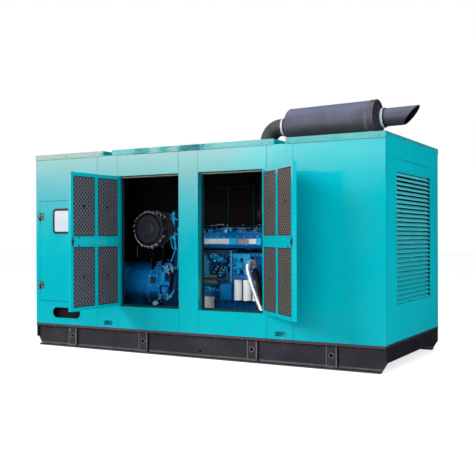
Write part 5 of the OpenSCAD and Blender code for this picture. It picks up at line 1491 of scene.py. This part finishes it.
def control_panel():
    """Front of the control cabinet: door, controller, meters, buttons and glands."""
    lo_, hi_ = span("control_cabinet")
    y = lo_.y
    x0, x1, z1 = lo_.x, hi_.x, hi_.z
    k = Kit("cabinet_doors", "cabinet", bevel=2)
    dark = Kit("cabinet_fittings", "black_metal", bevel=1)
    steel = Kit("cabinet_screws", "bright_steel", "bare")
    glass = Kit("cabinet_glass", "window", "gauge")
    red = Kit("emergency_stop", "black_metal", "red")
    green = Kit("start_button", "black_metal", "green")
    z0 = 720
    k.box((x0 + 30, x1 - 30), (y - 16, y + 2), (z0 + 400, z1 - 30))
    k.box((x0 + 30, x1 - 30), (y - 12, y + 2), (z0 + 30, z0 + 385))
    f = y - 16
    dark.box((x0 + 250, x0 + 490), (f - 12, f + 1), (1600, 1780))
    glass.box((x0 + 275, x0 + 420), (f - 13.5, f - 11), (1655, 1755))
    for i in range(5):
        steel.stub((x0 + 285 + i * 33, f - 12, 1628), OUT, (9, 3), (6, 5), n=16)
    for i in range(3):
        x = x0 + 560 + (i % 2) * 85
        z = 1730 - (i // 2) * 100
        dark.stub((x, f, z), OUT, (34, 10), (29, 13), n=28)
        glass.stub((x, f - 11, z), OUT, (28, 2), n=28)
    red.stub((x0 + 120, f, 1700), OUT, (18, 12), (28, 16), (28, 26), (20, 32), n=28)
    for i in range(3):
        (green if i == 0 else dark).stub((x0 + 85 + i * 55, f, 1600), OUT, (14, 6), (11, 10), n=20)
    for z in (1300, 1750):
        steel.stub((x1 - 55, f, z), OUT, (12, 8), (8, 11), n=16)
        for dz in (-30, 30):
            steel.rod((x0 + 26, y - 10, z + dz), (x0 + 26, y - 10, z + dz + 30), 7, 12)
    # breaker window with its lever, vents and cable glands below
    dark.box((x0 + 230, x0 + 470), (y - 16, y - 10), (800, 1040))
    dark.prism([(x0 + 325, y - 16, 900), (x0 + 325, y - 46, 905), (x0 + 325, y - 46, 935),
                (x0 + 325, y - 16, 960)], (50, 0, 0))
    for i in range(8):
        dark.box((x1 - 200, x1 - 70), (y - 13.5, y - 11), (800 + i * 28, 808 + i * 28))
    for i in range(4):
        x = x0 + 160 + i * 140
        dark.stub((x, y + 130, z0 - 80), DOWN, (34, 20), (26, 34), n=6)
        dark.tube([(x, y + 130, z0 - 100), (x + 10, y + 120, z0 - 240), (x - 20, y + 50, z0 - 360),
                   (x - 30, y + 20, DECK + 12)], 20, 14)


def slot_curtain():
    """Rubber edging of the cable slot, a black sleeve of painted shade in its throat, and the flap behind it.
    """
    k = Kit("cable_slot_flap_and_throat_shade", "rubber", "soft")
    k.box((-2160, -1610), (-938.5, -930), (345, 535))
    for i in range(26):
        x = -2150 + i * 21
        k.box((x, x + 18), (-941, -937), (360 + 4 * wobble(i), 530))
    x0, x1, z0, z1 = -2110, -1659, 377, 500
    r = (z1 - z0) / 2
    n = 14

    def outline(g):
        turns = [math.pi * i / n for i in range(n + 1)]
        arc = [(x0 + r - (r + g) * math.sin(t), (z0 + z1) / 2 + (r + g) * math.cos(t)) for t in turns]
        return arc + [(x0 + x1 - x, z0 + z1 - z) for x, z in arc]

    m = 2 * n + 2
    # a rubber lip at the front, and a black sleeve of painted shade over the reveal behind it
    rings = [(g, y) for g, y in ((0, FRONT + 58), (0, FRONT - 0.2), (6, FRONT - 1.2),
                                 (4.5, FRONT - 3), (-2, FRONT - 3), (-2.4, FRONT + 58))]
    v = [(x, y, z) for g, y in rings for x, z in outline(g)]
    f = [(a * m + i, a * m + (i + 1) % m, b * m + (i + 1) % m, b * m + i)
         for a, b in zip(range(6), (1, 2, 3, 4, 5, 0)) for i in range(m)]
    k.add(v, f)


def back_door_shade_linings(name, on):
    # painted shade: dark foam and mesh over the inner faces of the back doors
    y = LEAF_Y[1]
    k = Kit(name + "_lining", "liner", "foam", on)
    m = Kit(name + "_lining_mesh", "liner", "mesh_dark", on)
    bar = Kit(name + "_bar_edges", "canopy_paint", "shaded_bar", on)
    k.box((LEAF_X[0] + 12, LEAF_X[1] - 12), (y + 0.2, y + 4), (LEAF_Z[0] + 12, LEAF_Z[1] - 12))
    for x in LINER_X:
        for z in LINER_Z:
            lattice(m, (x[0] + 4, x[1] - 4), (z[0] + 4, z[1] - 4), y + 4, w=10)
    # painted shade: the frame's bars drawn as faint dark-teal strips over the foam
    for x in (MID_X - 13, LEAF_X[0] + 24, LEAF_X[1] - 48):
        bar.box((x, x + 24), (y + 4.2, y + 7), (LEAF_Z[0] + 30, LEAF_Z[1] - 30))
    for z in (LEAF_Z[0] + 30, MID_Z - 50, MID_Z + 40, LEAF_Z[1] - 42):
        bar.box((LEAF_X[0] + 30, LEAF_X[1] - 30), (y + 4.2, y + 6), (z, z + 10))


# ---------------------------------------------------------------- exhaust

PAST_ELBOW = (Matrix.Translation((733, 0, 2590)) @ Matrix.Rotation(rad(-0.9), 4, "Y")
              @ Matrix.Translation((0, 0, 180)), "root")


def exhaust_trim():
    k = Kit("silencer_rim", "exhaust", "dark_rim", PAST_ELBOW)
    gap = Kit("clamp_gap_shade", "rubber", "soft", PAST_ELBOW)
    rust = Kit("silencer_strap", "exhaust", "rust", PAST_ELBOW)
    pale = Kit("silencer_scratches", "exhaust", "scratch", PAST_ELBOW)
    soot = Kit("tail_pipe_soot", "exhaust", "soft", PAST_ELBOW)
    weld = Kit("exhaust_welds", "exhaust", on=PAST_ELBOW)
    body, tail = (129, 1254), 1320
    # painted shadow: a black ring beside each clamp; screws on the clamps
    for x in (47, tail):
        gap.lathe((x + 13.5, 0, 0), ALONG, [(105.5, 0), (112.5, 1), (112.5, 12), (105.5, 14)], 56)
        gap.lathe((x - 13.5, 0, 0), LEFTWARD, [(105.5, 0), (109, 1), (109, 4), (105.5, 5)], 56)
        for t in (150, 162):
            y, z = 117 * math.sin(rad(t)), 117 * math.cos(rad(t))
            pale.rod((x - 12, y, z), (x + 12, y, z), 6, 10)
    # strap over the outlet saddle, rusty, and pale scratches beside it
    x = body[1] - 50
    rust.lathe((x - 20.5, 0, 0), ALONG, [(216.5, 0), (218.8, 1), (218.8, 40), (216.5, 41)], 72)
    for dx, a, b, r in ((-34, 78, 132, 3.4), (-52, 84, 130, 2.8), (26, 70, 92, 2.4)):
        pale.tube([(x + dx, -212.5 * math.sin(rad(t)), 212.5 * math.cos(rad(t)))
                   for t in [a + (b - a) * j / 6 for j in range(7)]], r, 6, 3)
    # rolled rim at the outlet end, welds, and the lengthwise seam
    k.ring((body[1] - 3, 0, 0), ALONG, 213.5, 5.2, 80, 8)
    plate = Kit("silencer_end_plate", "exhaust", "end_plate", PAST_ELBOW)
    plate.lathe((body[1], 0, 0), ALONG, [(206.5, 0.8), (200, 4), (112, 40.2), (105.5, 43)], 72)
    weld.ring((body[1] + 41, 0, 0), ALONG, 106, 5, 48, 6)
    weld.ring((body[0] - 56, 0, 0), ALONG, 106, 5, 48, 6)
    weld.ring((body[0] + 30, 0, 0), ALONG, 212.2, 2.4, 80, 6)
    t = rad(205)
    weld.rod((body[0] + 40, 212.5 * math.sin(t), 212.5 * math.cos(t)),
             (body[1] - 20, 212.5 * math.sin(t), 212.5 * math.cos(t)), 4, 8)
    weld.lathe((720, 0, -213.5), DOWN, [(18, -4), (18, 4), (12, 5)], 6)
    # sooty lining of the tail pipe, cut at the same slant
    n, r0, r1 = 48, 99.5, 98
    end = lambda r, c: 1740 - 2 - (105 - r * c) / 210 * 185
    v, f = [], []
    for i in range(n):
        a = 2 * math.pi * i / n
        s, c = math.sin(a), math.cos(a)
        for r, xx in ((r0, tail + 10), (r0, end(r0, c)), (r1, end(r1, c) - 1), (r1, tail + 10)):
            v.append((xx, r * s, r * c))
    for i in range(n):
        a, b = i * 4, ((i + 1) % n) * 4
        for j in range(4):
            m = (j + 1) % 4
            f.append((a + j, b + j, b + m, a + m))
    soot.add(v, f)
    soot.stub((tail + 12, 0, 0), ALONG, (98.5, 2), n=40)


# ---------------------------------------------------------------- louvres and skid

def louvre_faces():
    """Upper faces of the slats in paler paint as painted light, and dark strips of painted shade on the sides
    of the louvred openings.
    """
    pitch, t, deep, rise, set_back, half = 49, 5, 44, 34, 2, 640
    low = DECK + 400
    face = Kit("louvre_faces", "canopy_paint", "lit_slat")
    dark = Kit("louvre_side_shade", "canopy_paint", "slate")
    n = Vector((rise, 0, deep)).normalized() * 0.7
    for s in (-1, 1):
        for i in range(29):
            z = low + (pitch - rise - t) / 2 + i * pitch + t
            p, q = Vector((END - set_back, 0, z)), Vector((END - set_back - deep, 0, z + rise))
            quad = [p, q, q + n, p + n]
            face.prism([(s * v.x, -half + 1, v.z) for v in (quad if s > 0 else quad[::-1])],
                       (0, 2 * half - 2, 0))
        # painted shade: dark strips on the sides of each louvred opening
        x = (s * (END - 58), s * (END - 1))
        for y in (-1, 1):
            dark.box(x, (y * half, y * (half - 1.2)), (low + 1, low + 29 * pitch - 1))


def skid_trim():
    worn = Kit("skid_worn_edges", "skid", "worn")
    red = Kit("skid_marks", "skid", "rust")
    hole_shade = Kit("skid_hole_shade", "skid", "soft")
    bolt = Kit("skid_bolts", "skid", "bare")
    weld = Kit("skid_welds", "skid")
    for s in (-1, 1):
        for i, x in enumerate(LUG_X):
            f = s * 985
            worn.ring((x, f, 150), (0, s, 0), 27.5, 3, 32, 6)
            # painted shade: a black disc in each lug's hole
            hole_shade.rod((x, f - s * 15.5, 150), (x, f - s * 13, 150), 22.5, 24)
            # worn edges of the lug's face plate
            for e in (-56.5, 56.5):
                worn.box(about(x + e, 2.7), (f - s * 12, f + s), (26 + 20 * wobble(i, 2), 250))
            # painted shadow: black strips on the web beside each lug
            for e in (-1, 1):
                hole_shade.box((x + e * 60, x + e * (66 if e < 0 else 72)), (f - s * 42, f - s * 30), (30, 250))
            for z in (30, 242):
                weld.rod((x - 50, f - s, z), (x + 50, f - s, z), 4.2, 8)
            if i == 2:
                for a, b in ((165, 185), (110, 135), (200, 215)):
                    red.box((x + 62, x + 69), (f - s * 20, f - s * 4), (a, b))
        # stitch welds under the top flange and along the foot
        for i in range(15):
            a = -2250 + i * 315
            weld.rod((a, s * 946.5, 251.5), (a + 100, s * 946.5, 251.5), 4.5, 8)
        for i in range(13):
            x = -2100 + i * 350
            bolt.bolt((x, s * 972, 256), DOWN, 8)
    # pale scuffs that run down the web
    for x, z0, z1 in ((130, 160, 235), (1030, 150, 200), (1360, 60, 100), (-280, 50, 120)):
        worn.box(about(x, 2.5), (-944.6, -942.8), (z0, z1))
    # small drain holes in the web, as black discs of painted shade
    for x in (-20, 1315):
        hole_shade.stub((x, -943.6, 75), OUT, (11, 0.8), n=16)


look()
world()
lights()
floor()
dress_nodes()
canopy_fasteners()
seals()
linings()
door_faces("left_door", LEFT, "mesh")
door_faces("right_door", RIGHT, "mesh_warm")
door_outside("left_door", LEFT)
door_outside("right_door", RIGHT)
door_outside("back_left_door", BACK_LEFT)
door_outside("back_right_door", BACK_RIGHT)
wall_hinge_screws()
engine_covers()
manifold_dress()
block_side()
filter_cans()
alternator_dress()
flywheel_plumbing()
drum_dress()
cooling()
seam_lines()
roof_trim()
control_hinges()
control_door_trim()
control_panel()
slot_curtain()
back_door_shade_linings("back_left", BACK_LEFT)
back_door_shade_linings("back_right", BACK_RIGHT)
louvre_faces()
exhaust_trim()
skid_trim()
for kit in Kit.made:
    kit.finish()

SCENE.view_settings.view_transform = "Standard"
